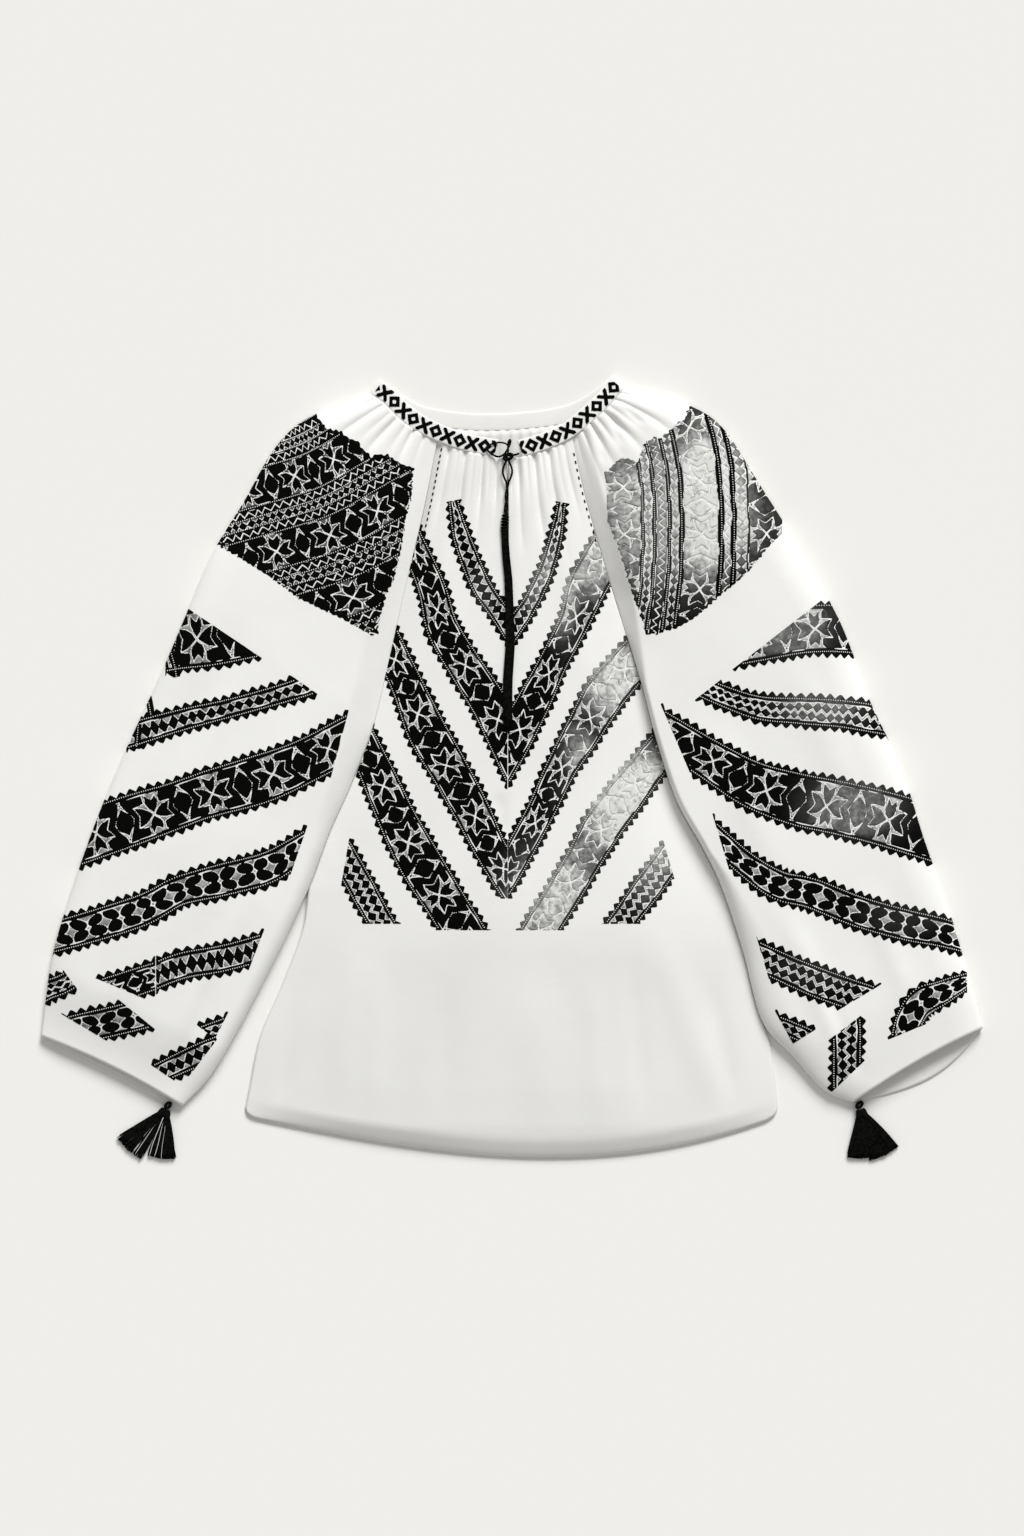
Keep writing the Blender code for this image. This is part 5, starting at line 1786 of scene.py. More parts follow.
    def build_motifs(self, thread: Material) -> Piece:
        """Lozenges and crosses by turns along the front half, as raised outlines.

        Args:
            thread: its finish.
        Returns:
            The piece.
        """
        offset, points, faces, values = 0, [], [], []
        for rows, turn in ((BAND_RIGHT_HALF, -1), (BAND_LEFT_HALF, 1)):
            route = Route(rows)
            s1 = np.linspace(1.0, route.length + 1, int(route.length / self.motif_step))
            t1 = np.linspace(-self.width / 2, self.width / 2, 28)
            s, t = np.meshgrid(s1, t1, indexing="ij")
            share = s1 / route.length
            ahead = unit(route.at(share + 0.01) - route.at(share - 0.01))
            across = np.column_stack([-ahead[:, 1], ahead[:, 0]]) * turn
            xy = route.at(share)[:, None] + across[:, None] * t[..., None]
            z = self.front_level(route.length - s1)
            surface = np.concatenate([xy, (z[:, None] + self.wall / 2 + 0 * t)[..., None]], axis=-1)
            polygons, first, second, share = kept_cells(self.motif(s, t))
            xyz = blended(surface, first, second, share)
            xyz[:, 2] += np.where(first == second, self.motif_height, -0.2)
            if turn > 0:
                polygons = [f[:, ::-1] for f in polygons]
            points.append(xyz)
            values.append(blended(np.stack([s, t], axis=-1), first, second, share))
            faces += [f + offset for f in polygons if len(f)]
            offset += len(xyz)
        # no painted sheen and no ground grey on the neckband's thread
        return make_mesh("neckband_black_thread", np.vstack(points), faces, thread,
                         {"stitch": np.vstack(values), "faded": np.zeros(offset)})

    def motif(self, s: Array, t: Array) -> Array:
        """Depth inside the thread: an open lozenge and an open cross by turns, with uneven edges.

        Args:
            s, t: distances along the band and across it.
        Returns:
            The depth at each place.
        """
        period = self.motif_period
        a = (s / period - np.floor(s / period) - 0.5) * period
        ring = 1.7 - np.abs((np.abs(a) + np.abs(t)) * 0.707 - 3.3)
        b = np.abs(a) - period / 2
        cross = np.minimum(1.85 - np.abs(np.abs(b) * 0.76 - np.abs(t) * 0.65),
                           np.minimum(6.6 - np.abs(t), 6.2 - np.abs(b)))
        return np.maximum(ring, cross) + 0.25 * np.sin(s * 2.4) * np.sin(t * 2.1 + 0.4)


def triangle_safe_flip(faces: Array) -> Array:
    """Turns quads over, keeping a repeated last corner last.

    Args:
        faces: the quads.
    Returns:
        The turned quads.
    """
    three = faces[:, 2] == faces[:, 3]
    turned = faces[:, ::-1].copy()
    turned[three] = faces[three][:, (0, 2, 1, 1)]
    return turned


# Middle of the hanging tie down the slit: y, x
TIE_LINE = ((291, -4.3), (271, -4.3), (240, -6.2), (226, -7.1), (202, -5.7), (179, -3.4), (143, -2.2),
            (116, -1.6), (82, -4.0), (50, -4.3))


def slit_sway(y: Array) -> Array:
    """How far the hanging ends bend aside from the slit's middle at a place down it."""
    rows = np.array(TIE_LINE)
    return np.interp(-y, -rows[:, 0], rows[:, 1]) - rows[0, 1]


@dataclass
class Tie:
    """The neck tie: a cord from each end of the band, a knot, and two hanging ends with long tassels."""

    diameter: float = 1.9
    knot_z: float = 17.4
    knot_middle: tuple[float, float] = (-3.6, 295.0)
    # from the right end of the band through the small loop, the loop's upper strand, and from the left end
    right: Rows = ((-22.5, 305.4, 14.4), (-24.6, 303.6, 14.9), (-22.6, 300.8, 15.3), (-18.0, 297.0, 15.4),
                   (-12.4, 295.2, 15.6), (-6.9, 298.2, 16.2), (-3.2, 304.4, 17.0), (-1.4, 309.4, 17.4),
                   (-1.9, 311.2, 17.7), (-3.4, 309.0, 18.0), (-3.7, 303.5, 18.0), (-3.8, 299.5, 17.7))
    upper: Rows = ((-22.8, 304.9, 14.7), (-20.2, 306.8, 15.0), (-16.0, 308.2, 15.2), (-11.4, 308.7, 15.5),
                   (-6.4, 307.8, 16.2), (-3.0, 305.2, 16.6))
    left: Rows = ((6.6, 298.4, 14.0), (3.6, 297.2, 14.9), (0.4, 296.6, 16.2), (-2.2, 296.4, 17.0))
    through: Rows = ((-4.9, 295.6, 17.0),)  # inside the knot
    ends: Rows = ((-5.3, -5.3), (-3.3, -3.3))  # x of each hanging end at its top and at its foot
    top_y: float = 291.2
    low_y: float = 241.0
    bowed: float = 0.4  # share of the hanging ends that bows apart, before they twist

    def hanging(self, top_x: float, low_x: float) -> Rows:
        """Rows of one end from the knot down to its tassel, the two ends twisted once round each other.

        Args:
            top_x, low_x: x at its top and at its foot, in a straight slit.
        Returns:
            The rows x, y, z.
        """
        rows, middle = [], sum(sum(pair) for pair in self.ends) / 4
        for t in np.linspace(0, 1, 27):
            y = self.top_y + (self.low_y - self.top_y) * t
            straight = top_x + (low_x - top_x) * t - middle
            turn = 4 * math.pi * max(0.0, t - self.bowed)
            bow = 1 + 3.4 * math.sin(math.pi * min(t / self.bowed, 1.0))
            over = abs(straight) / 2 * math.sin(turn) * (1 if straight > 0 else -1)
            x = middle + straight * bow * math.cos(turn) + float(slit_sway(y))
            rows.append((x, y, self.knot_z + 0.2 * t + over))
        return tuple(rows)

    def cord_path(self, rows: Rows) -> Array:
        """Places every 0.7 mm along a route."""
        route = Route(rows)
        return route.at(np.linspace(0, 1, max(8, int(route.length / 0.7))))

    def build_cord(self, name: str, rows: Rows, thread: Material) -> tuple[Piece, Array]:
        """A cord of three twisted plies along a route.

        Args:
            name: the piece's name.
            rows: its route.
            thread: its finish.
        Returns:
            The piece, and the places along its middle.
        """
        path = self.cord_path(rows)
        points, faces = plied(path, self.diameter / 2, depth=0.16)
        return make_mesh(name, points, triangles_and_quads(faces), thread), path

    def build_knot(self, thread: Material) -> Piece:
        """The knot: a cord wound three times round a swelling oval, and the loop's upper strand.

        Args:
            thread: its finish.
        Returns:
            The piece.
        """
        a = np.linspace(0, 6 * math.pi, 180)
        swell = 1 + 0.3 * np.sin(0.66 * a)
        x, y = self.knot_middle
        z = self.knot_z + 1.1 * np.sin(1.33 * a + 0.6)
        path = np.column_stack([x + 3.3 * swell * np.cos(a), y + 2.5 * swell * np.sin(a + 0.4), z])
        strand = Route(self.upper).at(np.linspace(0, 1, 40))
        points, faces = join([plied(path, 1.15), plied(strand, self.diameter / 2 * 0.85, depth=0.16)])
        return make_mesh("tie_knot_thread", points, triangles_and_quads(faces), thread)


@dataclass
class Tassel:
    """A tassel: strands that spread from a wound head, in the direction of its aim."""

    name: str
    root: tuple[float, float]
    aim: tuple[float, float]
    length: float
    spread: float  # half width at the tips
    head: tuple[float, float, float]  # length, half width, height
    layers: tuple[float, float]  # height of the bundle at its root and at its tips
    strands: int
    pale_share: float
    seed: int
    wander: float = 0.5  # how far a strand waves
    steps: int = 12
    turns: int = 7  # of the thread round the head

    def ground(self, x: Array, y: Array) -> Array:
        """Level that the tassel lies on."""
        return np.zeros(np.shape(x)) + 0.2

    def sway(self, y: Array) -> Array:
        """How far the tassel bends sideways at a place down it."""
        return 0.0 * y

    def strand_paths(self) -> tuple[Array, Array]:
        """Middle lines of the strands: out from the root as a fan, with a slow wave, above the ground.

        Returns:
            A path for each strand, and which strands are pale.
        """
        rng = np.random.default_rng(self.seed)
        root, aim = np.array(self.root), np.array(self.aim)
        side = np.array((-aim[1], aim[0]))
        t = np.linspace(0, 1, self.steps)[None]
        across = rng.uniform(-1, 1, self.strands)[:, None]
        level = rng.uniform(0.08, 0.92, self.strands)[:, None]
        short = 1 - 0.10 * rng.random(self.strands)[:, None] ** 2 - 0.04 * np.abs(across)
        wave = self.wander * np.sin(t * rng.uniform(3, 8, self.strands)[:, None] + 6 * across) * t
        head_length, half, height = self.head
        sideways = across * (half * 0.85 + (self.spread - half * 0.85) * t**0.85) + wave
        along = head_length * 0.7 + t * (self.length * short + head_length * 0.3)
        xy = root + aim * along[..., None] + side * sideways[..., None]
        xy[..., 0] += self.sway(xy[..., 1])
        bundle = self.layers[0] + (self.layers[1] - self.layers[0]) * t**0.7
        z = self.ground(xy[..., 0], xy[..., 1]) + 0.25 + level * bundle
        return np.concatenate([xy, z[..., None]], axis=-1), rng.random(self.strands) < self.pale_share

    def build(self, thread: Material, pale: Material) -> Piece:
        """Strands as thin tubes, and the head as turns of thread round their roots.

        Args:
            thread, pale: finishes of the dark and of the pale strands.
        Returns:
            The piece.
        """
        paths, light = self.strand_paths()
        radius = np.linspace(0.46, 0.34, self.steps)
        parts = [tube(path, radius, 4) for path in paths]
        light_faces = np.concatenate([np.full(len(f), k) for (_, f), k in zip(parts, light)])
        windings = self.windings()
        points, faces = join(parts + [windings])
        light_faces = np.concatenate([light_faces, np.zeros(len(windings[1]))])
        split = triangles_and_quads(faces)
        three = faces[:, 2] == faces[:, 3]
        order = np.concatenate([light_faces[~three], light_faces[three]])
        piece = make_mesh(self.name, points, split, thread)
        piece.data.materials.append(pale)
        piece.data.polygons.foreach_set("material_index", order.astype(np.int32))
        return piece

    def windings(self) -> tuple[Array, Array]:
        """The head: a helix of thread, swollen in its middle, whose turns lie side by side.

        Returns:
            Points and quads.
        """
        head_length, half, height = self.head
        root, aim = np.array(self.root), np.array(self.aim)
        side = np.array((-aim[1], aim[0]))
        a = np.linspace(0, 1, self.turns * 18)
        swell = np.sqrt(np.clip(1 - (2 * a - 1) ** 4 * 0.6, 0, 1))
        angle = 2 * math.pi * self.turns * a
        xy = root + aim * (a * head_length)[:, None] + side * (half * swell * np.cos(angle))[:, None]
        xy[:, 0] += self.sway(xy[:, 1])
        middle = self.ground(xy[:, 0], xy[:, 1]) + height / 2 + 0.3
        z = middle + (height / 2 - 0.3) * swell * np.sin(angle)
        return tube(np.column_stack([xy, z]), 0.75, 6)


@dataclass
class SlitTassel(Tassel):
    """One of the two long slim tassels that lie down the front slit."""

    body: Body | None = None
    core_length: float = 166.0  # of the cord inside it

    def sway(self, y: Array) -> Array:
        """The slow bends of the tassels and of the cords above them."""
        return slit_sway(y)

    def ground(self, x: Array, y: Array) -> Array:
        """Just above the front beside the slit, and above the gathers near the neck.

        Args:
            x, y: places in plan.
        Returns:
            The level at each place.
        """
        flat_x = np.full(np.shape(y), SLIT_X)
        fade = 1 - ease((300.0 - y) / 95.0)
        return self.body.front_height(flat_x, np.asarray(y, float)) + 1.2 * fade + 0.3

    def core(self, x: float) -> Rows:
        """Rows down the tassel's middle, for the cord inside it.

        Args:
            x: where it hangs in a straight slit.
        Returns:
            The rows x, y, z.
        """
        top = self.root[1] - 6.0
        y = np.arange(top, top - self.core_length, -12.0)
        z = self.ground(np.full_like(y, x), y) + 0.25 + self.layers[1] / 2
        return tuple(zip(x + slit_sway(y), y, z))


# ---------------------------------------------------------------- pattern of this blouse


# Bands of the sleeves, of the chest's right half and of its left half, from the neck down
BANDS_RIGHT = (
    Band(((-390, 101.6, 32), (-331, 118.6, 32), (-285, 124.6, 32), (-240, 133.6, 32), (-200, 142, 32)),
         Motif.STARS, phase=24.0, cuts=((-235, 103, -306, 150.6), (-329, 160, -329, 60))),
    Band(((-324, 112, 3.4), (-320, 98, 3.4), (-318, 86, 3.4)),
         Motif.BAR, PLAIN),
    Band(((-370, 29, 16.3), (-315, 45, 14.8), (-270, 56, 13.4), (-226, 68, 13.4), (-199, 76.3, 13.8),
          (-170, 86.3, 13.8)),
         Motif.LOZENGES, cuts=((-179.5, 67, -209.4, 87.9),)),
    Band(((-347, 74, 3.4), (-344, 60, 3.4), (-342, 49, 3.4)),
         Motif.BAR, PLAIN),
    Band(((-354, 42, 3.4), (-355, 30, 3.4), (-356, 18, 3.4)),
         Motif.BAR, PLAIN),
    Band(((-425, -73, 28), (-365, -51.2, 28.5), (-323, -37.2, 26.8), (-302, -29.6, 26.2),
          (-281, -22.8, 26.8), (-238, -10.4, 27.6), (-196, 6.5, 25.3), (-140, 36, 25)),
         Motif.STARS, phase=27.0, cuts=((-170, -3.3, -154, 56.5),)),
    Band(((-450, -165, 18.3), (-393, -148.7, 19.4), (-353, -135.8, 19.4), (-334, -126.5, 18.5),
          (-314, -116, 18.3), (-274, -106, 19.8), (-234, -95.4, 19.4), (-208, -81.3, 17.9), (-180, -64, 17)),
         Motif.HEARTS, cuts=((-209, -99, -194, -55.6),)),
    Band(((-350, -201.8, 16.7), (-313, -187.6, 17), (-273, -180.2, 17), (-220, -166, 17)),
         Motif.LOZENGES, pitch=9.0, cuts=((-249, -190.5, -234, -151.5), (-337.6, -150, -337.6, -250))),
    Band(((-415, -221, 17.5), (-378, -210, 17.5), (-353, -202, 17.5), (-330, -194.5, 17)),
         Motif.STARS, half_period=24.0, phase=12.0,
         cuts=((-391, -201, -336, -224), (-338, -260, -338, -160))),
    Band(((-467, -230, 13.6), (-444, -212.5, 13.6), (-427, -205.5, 13.6), (-405, -193.5, 13.2)),
         Motif.TWO_ROWS, cuts=((-411, -211, -427.5, -188.6),)),
    Band(((-434, -252.5, 17.4), (-410, -246.8, 18), (-391, -243, 18.6), (-363, -236.5, 18.6),
          (-330, -228.5, 18.3)),
         Motif.HEARTS, phase=5.0, cuts=((-421.8, -237, -380, -261.7), (-342, -244.6, -367.6, -223.7))),
    Band(((-353, -297, 14), (-334, -289, 14), (-317, -281, 14.6), (-296, -271.5, 15), (-277, -264, 15)),
         Motif.LOZENGES, cuts=((-342.9, -281.7, -313.5, -301.6), (-312, -300, -289, -270))),
    Band(((-312, -258.6, 12), (-290, -251, 12), (-264, -241.6, 12)),
         Motif.LOZENGES, cuts=((-299, -243.7, -280.6, -257.5), (-280.6, -255, -271.5, -237))),
)
BANDS_LEFT = (
    Band(((190, 116, 27), (235, 124, 27), (275, 131, 27), (310, 132, 27), (350, 128, 27)),
         Motif.STARS, phase=20.0, cuts=((294.5, 160, 221, 103),), firm=-1),
    Band(((165, 83.5, 13.6), (195.5, 70, 14.2), (233, 57.2, 15.6), (272, 54, 16.8), (311, 51.4, 17.5),
          (345, 46.3, 18), (380, 40, 18)),
         Motif.TWO_ROWS, pitch=8.6, cuts=((198, 84, 171, 63),), firm=-1),
    Band(((130, 43, 21.6), (187, 8, 23.2), (227.3, -15.5, 26.4), (269.4, -29.5, 29.2), (310.3, -38, 29.9),
          (351, -47.7, 30.2), (409.5, -65, 31)),
         Motif.STARS, phase=-11.0, cuts=((146, 48, 170, -8),), firm=-1),
    Band(((180, -54, 15.3), (219, -89, 15.8), (252, -111, 18.2), (283.4, -118.7, 18.8), (327.7, -136, 19),
          (374, -149, 19), (407, -156, 18), (440, -166.5, 16)),
         Motif.HEARTS, cuts=((192, -51, 204, -91),), firm=-1),
    Band(((213.5, -169, 17), (269.8, -195.2, 18.1), (310, -210.8, 18.7), (362, -227, 17.4)),
         Motif.TWO_ROWS, cuts=((231, -158, 244, -202), (319, -224, 350.5, -205)), firm=-1),
    Band(((245, -240, 12), (270, -250, 12), (297, -262, 12)),
         Motif.LOZENGES, cuts=((255.5, -241.8, 266.5, -261.7), (266.5, -261.7, 288.8, -247.5))),
    Band(((315, -221, 18), (317.2, -243.5, 17.8), (317.6, -268, 17.6), (317.6, -292, 17.5),
          (318.4, -316, 17.5)),
         Motif.TWO_ROWS, cuts=((332.5, -233.2, 301.1, -257), (309.7, -301.6, 336.3, -276))),
    Band(((368, -268, 13), (371.5, -254, 15), (376.4, -240, 16.4), (383.6, -226.8, 16.8),
          (392, -219.5, 17.2), (403.8, -214.8, 15.6), (420, -207, 13), (439.4, -198.6, 9.5)),
         Motif.HEARTS, SLIM, cuts=((361, -256, 400, -240), (432, -230, 432, -170))),
)
CHEST_TIP = -124.0  # the third chest bands end above this y, and the lowest ones above the next
WAIST_CUT = -154.0
CHEST_RIGHT = (
    Band(((-55.8, 254, 7.8), (-50.4, 228.4, 10.6), (-42.8, 205.2, 12.3), (-29, 172.3, 12.8),
          (-9.8, 143.8, 12.5), (8, 115, 12)),
         Motif.LOZENGES, SLIM, pitch=8.4),
    Band(((-110, 247, 14.2), (-78, 176.3, 16.4), (-66, 133.2, 18.6), (-44.5, 96.3, 19.6), (-21.2, 60, 20.7),
          (-3, 23.5, 21.4), (22, -30, 21.4)),
         Motif.STARS, SLIM, half_period=30.0, phase=15.0),
    Band(((-126.5, 135.3, 17.6), (-99, 77.3, 18.8), (-81.3, 36, 22), (-59.5, -1.7, 21.5), (-37.5, -42, 20.6),
          (-20.5, -76.6, 18.8), (-6.4, -100, 18.8), (15, -135.5, 17)),
         Motif.STARS, SLIM, half_period=28.0, phase=20.0, cuts=((-60, CHEST_TIP, 60, CHEST_TIP),)),
    Band(((-154, 51, 16.5), (-126, -10, 19.9), (-108, -50.3, 21.6), (-87.5, -89, 23.8), (-64, -126.5, 22.8),
          (-36.6, -169.4, 22.6)),
         Motif.STARS, SLIM, half_period=29.0, phase=-18.0, cuts=((-200, WAIST_CUT, 0, WAIST_CUT),)),
    Band(((-177, -54.5, 15.4), (-150, -100.5, 16), (-134.6, -128.3, 15.7), (-112, -168, 15.5)),
         Motif.TWO_ROWS, SLIM, pitch=8.4,
         cuts=((-200, WAIST_CUT + 6, 0, WAIST_CUT + 6), (-153.5, -60, -163, -115))),
)
CHEST_LEFT = (
    Band(((47.4, 252.4, 7.3), (38.4, 206.4, 10), (22.3, 165.1, 10.8), (4.4, 137, 12), (-16, 108, 11.8)),
         Motif.LOZENGES, SLIM, pitch=8.4, firm=1),
    Band(((109, 233, 21.6), (75, 179, 22), (59, 138.6, 18), (40, 102, 17), (21.4, 64.2, 19.2),
          (-0.2, 24.6, 20.8), (-26, -20, 20.6)),
         Motif.STARS, SLIM, half_period=30.0, phase=18.0, firm=1),
    Band(((138.8, 126.8, 21), (91.8, 74.6, 22.8), (67.3, 34.7, 20.8), (46.2, -0.6, 18), (28.4, -38.8, 16.8),
          (10, -73, 16.8), (-4, -98, 16.8), (-24, -132, 15)),
         Motif.STARS, SLIM, half_period=28.0, phase=10.0, firm=1, cuts=((-60, CHEST_TIP, 60, CHEST_TIP),)),
    Band(((158, 38, 18.6), (112.5, -20.3, 21.2), (86.8, -54.6, 21.8), (65.6, -91, 20), (44.4, -126, 20),
          (15.4, -171, 19.4)),
         Motif.STARS, SLIM, half_period=28.0, phase=-10.0, cuts=((0, WAIST_CUT, 200, WAIST_CUT),), firm=1),
    Band(((172.8, -54.2, 15.6), (134.2, -106.2, 16.9), (115, -131.8, 16.1), (85.2, -171.9, 15.4)),
         Motif.TWO_ROWS, SLIM, pitch=8.4,
         cuts=((0, WAIST_CUT + 6, 200, WAIST_CUT + 6), (154, -104, 144, -70)), firm=1),
)


def clipped(band: Band, cut: tuple[float, float, float, float]) -> Band:
    """The same band with one more cut."""
    return replace(band, cuts=tuple(band.cuts) + (cut,))


def flower_row(at: float, shift: float) -> tuple[Lane, ...]:
    """One flower row and the narrow rows above it, up to the next flower row.

    Args:
        at: the flower row's middle, across from the spine.
        shift: how far its stars are moved along.
    Returns:
        Its lanes.
    """
    lanes = (
        Lane(-15.4, 15.4, Motif.STARS, shift=shift), Lane(15.7, 18.9, Motif.BAR, seed_at=1.5),
        Lane(18.9, 26.2, Motif.ZIGZAG), Lane(26.2, 27.9, Motif.BAR, seed_at=0.9),
        Lane(27.9, 35.0, Motif.LOZENGES, pitch=7.4), Lane(35.0, 36.7, Motif.BAR, seed_at=0.8),
        Lane(36.7, 44.1, Motif.ZIGZAG), Lane(44.1, 47.0, Motif.BAR, seed_at=1.4),
    )
    return tuple(replace(lane, start=lane.start + at, end=lane.end + at) for lane in lanes)


ALTITA_RIGHT = ShoulderPanel(
    outline=((-192, 345), (-177, 323), (-162, 319), (-153, 312), (-146, 310), (-140, 301), (-133, 295),
             (-127, 298), (-117, 297), (-110, 292), (-103, 287), (-93, 285), (-94.5, 273), (-96, 250),
             (-101, 238), (-104, 215), (-107, 200), (-112, 180), (-119, 165), (-125, 144), (-127, 128),
             (-132, 124), (-161, 142), (-202, 160), (-236, 185), (-276, 209), (-320, 240), (-300, 345)),
    spine=((-306, 181), (-276, 191), (-223, 206), (-176, 220), (-149, 232), (-125, 246), (-78, 273)),
    ground=0.5,
    lanes=(*flower_row(-125.4, 30.0), *flower_row(-62.7, 18.2), *flower_row(0.0, 17.7),
           *flower_row(62.7, 31.1), *flower_row(125.4, 12.0)),
    worked=((-194, 336), (-177, 324), (-162, 319), (-153, 312), (-140, 301), (-133, 296), (-117, 297),
            (-103, 287), (-90, 284)),
)
ALTITA_LEFT = ShoulderPanel(
    outline=((80, 276), (91, 282), (100, 292), (108, 295), (119, 290), (125, 307), (134, 314), (141, 312),
             (154, 325), (164, 332), (166, 339), (171, 348), (230, 345), (300, 260), (258, 224), (244, 210),
             (225, 187), (214, 176), (195, 161), (171, 141), (154, 132), (139, 127), (127, 126), (123, 141),
             (113, 168), (102, 206), (93, 228), (86, 246)),
    spine=((151, 372), (159, 352), (168, 335), (175, 311), (180, 283), (182, 254), (182.5, 216), (181, 178),
           (178, 150), (173, 112)),
    lanes=(
        Lane(-92.0, -61.0, Motif.STARS), Lane(-60.4, -56.4, Motif.BAR, 0.5, seed_at=2.0),
        Lane(-56.0, -50.0, Motif.LOZENGES), Lane(-49.4, -45.2, Motif.BAR, 0.4, seed_at=2.1),
        Lane(-44.8, -35.6, Motif.ZIGZAG), Lane(-35.2, -31.0, Motif.BAR, 0.25, seed_at=2.1),
        Lane(-30.6, -24.2, Motif.LOZENGES, 1.0, 9.4), Lane(-24.1, -19.2, Motif.BAR, 0.1, seed_at=2.6),
        Lane(-18.8, 12.8, Motif.STARS), Lane(13.2, 18.6, Motif.BAR, 0.0, seed_at=3.0),
        Lane(18.8, 25.0, Motif.ZIGZAG, 1.0), Lane(25.2, 30.4, Motif.BAR, 0.0, seed_at=2.9),
        Lane(30.7, 40.4, Motif.LOZENGES, 0.9, 8.0), Lane(40.8, 42.6, Motif.BAR, 0.3),
        Lane(43.0, 74.0, Motif.STARS, 0.72),
    ),
)

# Painted sheen: where the black thread is painted paler grey, as if it caught the light: x, y, reach in x and
# in y, amount
SHEEN_CHEST = (
    SheenSpot(80, 200, 36, 48, 0.78), SheenSpot(46, 150, 18, 36, 0.6), SheenSpot(100, 84, 44, 46, 0.9),
    SheenSpot(60, 22, 18, 24, 0.5), SheenSpot(112, -30, 60, 62, 1.0), SheenSpot(40, -125, 50, 60, 0.86),
    SheenSpot(135, -105, 32, 34, 0.5), SheenSpot(26, 178, 22, 42, 0.6), SheenSpot(-28, 165, 12, 26, 0.3),
)
SHEEN_LEFT = (
    SheenSpot(138, 246, 88, 88, 0.76), SheenSpot(196, 262, 36, 96, 0.52),
    SheenSpot(240, 226, 26, 40, 0.4), SheenSpot(262, 135, 46, 40, 0.6),
    SheenSpot(292, 58, 44, 26, 0.56), SheenSpot(322, -38, 50, 36, 0.6), SheenSpot(370, -140, 40, 20, 0.2),
    SheenSpot(290, -190, 40, 20, 0.2),
)

# Soft ridges and troughs of the sleeves: x0, y0, x1, y1, height, half width
CREASES_RIGHT = (
    (-150, 300, -210, 150, 1.8, 16), (-115, 270, -140, 120, 1.6, 13), (-250, 110, -330, -60, 1.8, 18),
    (-200, 60, -270, -120, 1.6, 16), (-240, -90, -330, -290, 2.2, 13), (-330, -100, -380, -250, 1.8, 13),
    (-280, -180, -325, -312, -1.8, 8),
)
CREASES_LEFT = (
    (150, 310, 215, 150, 1.8, 16), (100, 270, 135, 110, 1.6, 13), (260, 110, 330, -40, 1.8, 18),
    (190, 50, 260, -120, 1.6, 16), (250, -120, 330, -300, 2.2, 13), (330, -100, 385, -240, 1.8, 13),
    (290, -190, 335, -305, -1.8, 8), (104, 344, 127, 324, -1.7, 3.5), (94, 339, 104, 303, -1.9, 4.0),
    (80, 323, 89, 284, -1.7, 4.0),
)
# Gathers of the sleeves: share across, depth, half width, length
SLEEVE_PLEATS = (
    (0.11, 1.6, 2.6, 70), (0.24, 3.1, 2.4, 100), (0.37, 1.5, 2.4, 66), (0.47, 3.4, 2.5, 108),
    (0.60, 1.7, 2.3, 76), (0.70, 3.2, 2.4, 104), (0.83, 2.2, 2.3, 80), (0.94, 1.5, 2.4, 60),
)
# The slope of a sleeve's top beside the seam: share of its length, width of the slope, how round it is
FLANKS_RIGHT = ((0, 32, 0), (0.4, 28, 0), (0.6, 13, 1), (1, 12, 1))
FLANKS_LEFT = ((0, 19, 0), (0.24, 19, 0), (0.36, 4.6, 1), (0.6, 5.5, 1), (0.76, 30, 1), (1, 34, 1))
CHEST_CLEAR = (1.2, 0.25, 0.0, 0.0, 0.0)  # from the slit's middle to the thread of each chest band
# Step, height of the thread and height of the seed stitches below the cloth, where they stay off the floor
UNDERSIDE = (1.3, 0.45, 0.56)
# Joining stitches: name, side of the body, how far in from its edge, y of the first and of the last, pitch
SEAM_STITCHES = (("right", 0, 5.8, 303.0, 212.0, 6.0), ("left", 1, -1.6, 300.0, 216.0, 7.4))
STITCH_SIZE = (0.75, 1.5, 0.7)  # half widths at the foot, and the height
CUFF_KNOTS = (("right", -326.8, -320.5), ("left", 329.9, -319.9))  # name, x, y
# Cuff tassels: name, x and y of the knot, direction and half angle of the fan in degrees, length, pale share
CUFF_TASSELS = (
    ("right_outer", -326.8, -320.5, 228.0, 19.0, 44.5, 0.1),
    ("right_inner", -326.8, -320.5, 263.0, 19.0, 38.4, 0.05),
    ("left_inner", 329.9, -319.9, 271.0, 17.0, 38.6, 0.0),
    ("left_outer", 329.9, -319.9, 297.0, 20.0, 41.2, 0.0),
)


# ---------------------------------------------------------------- studio and assembly


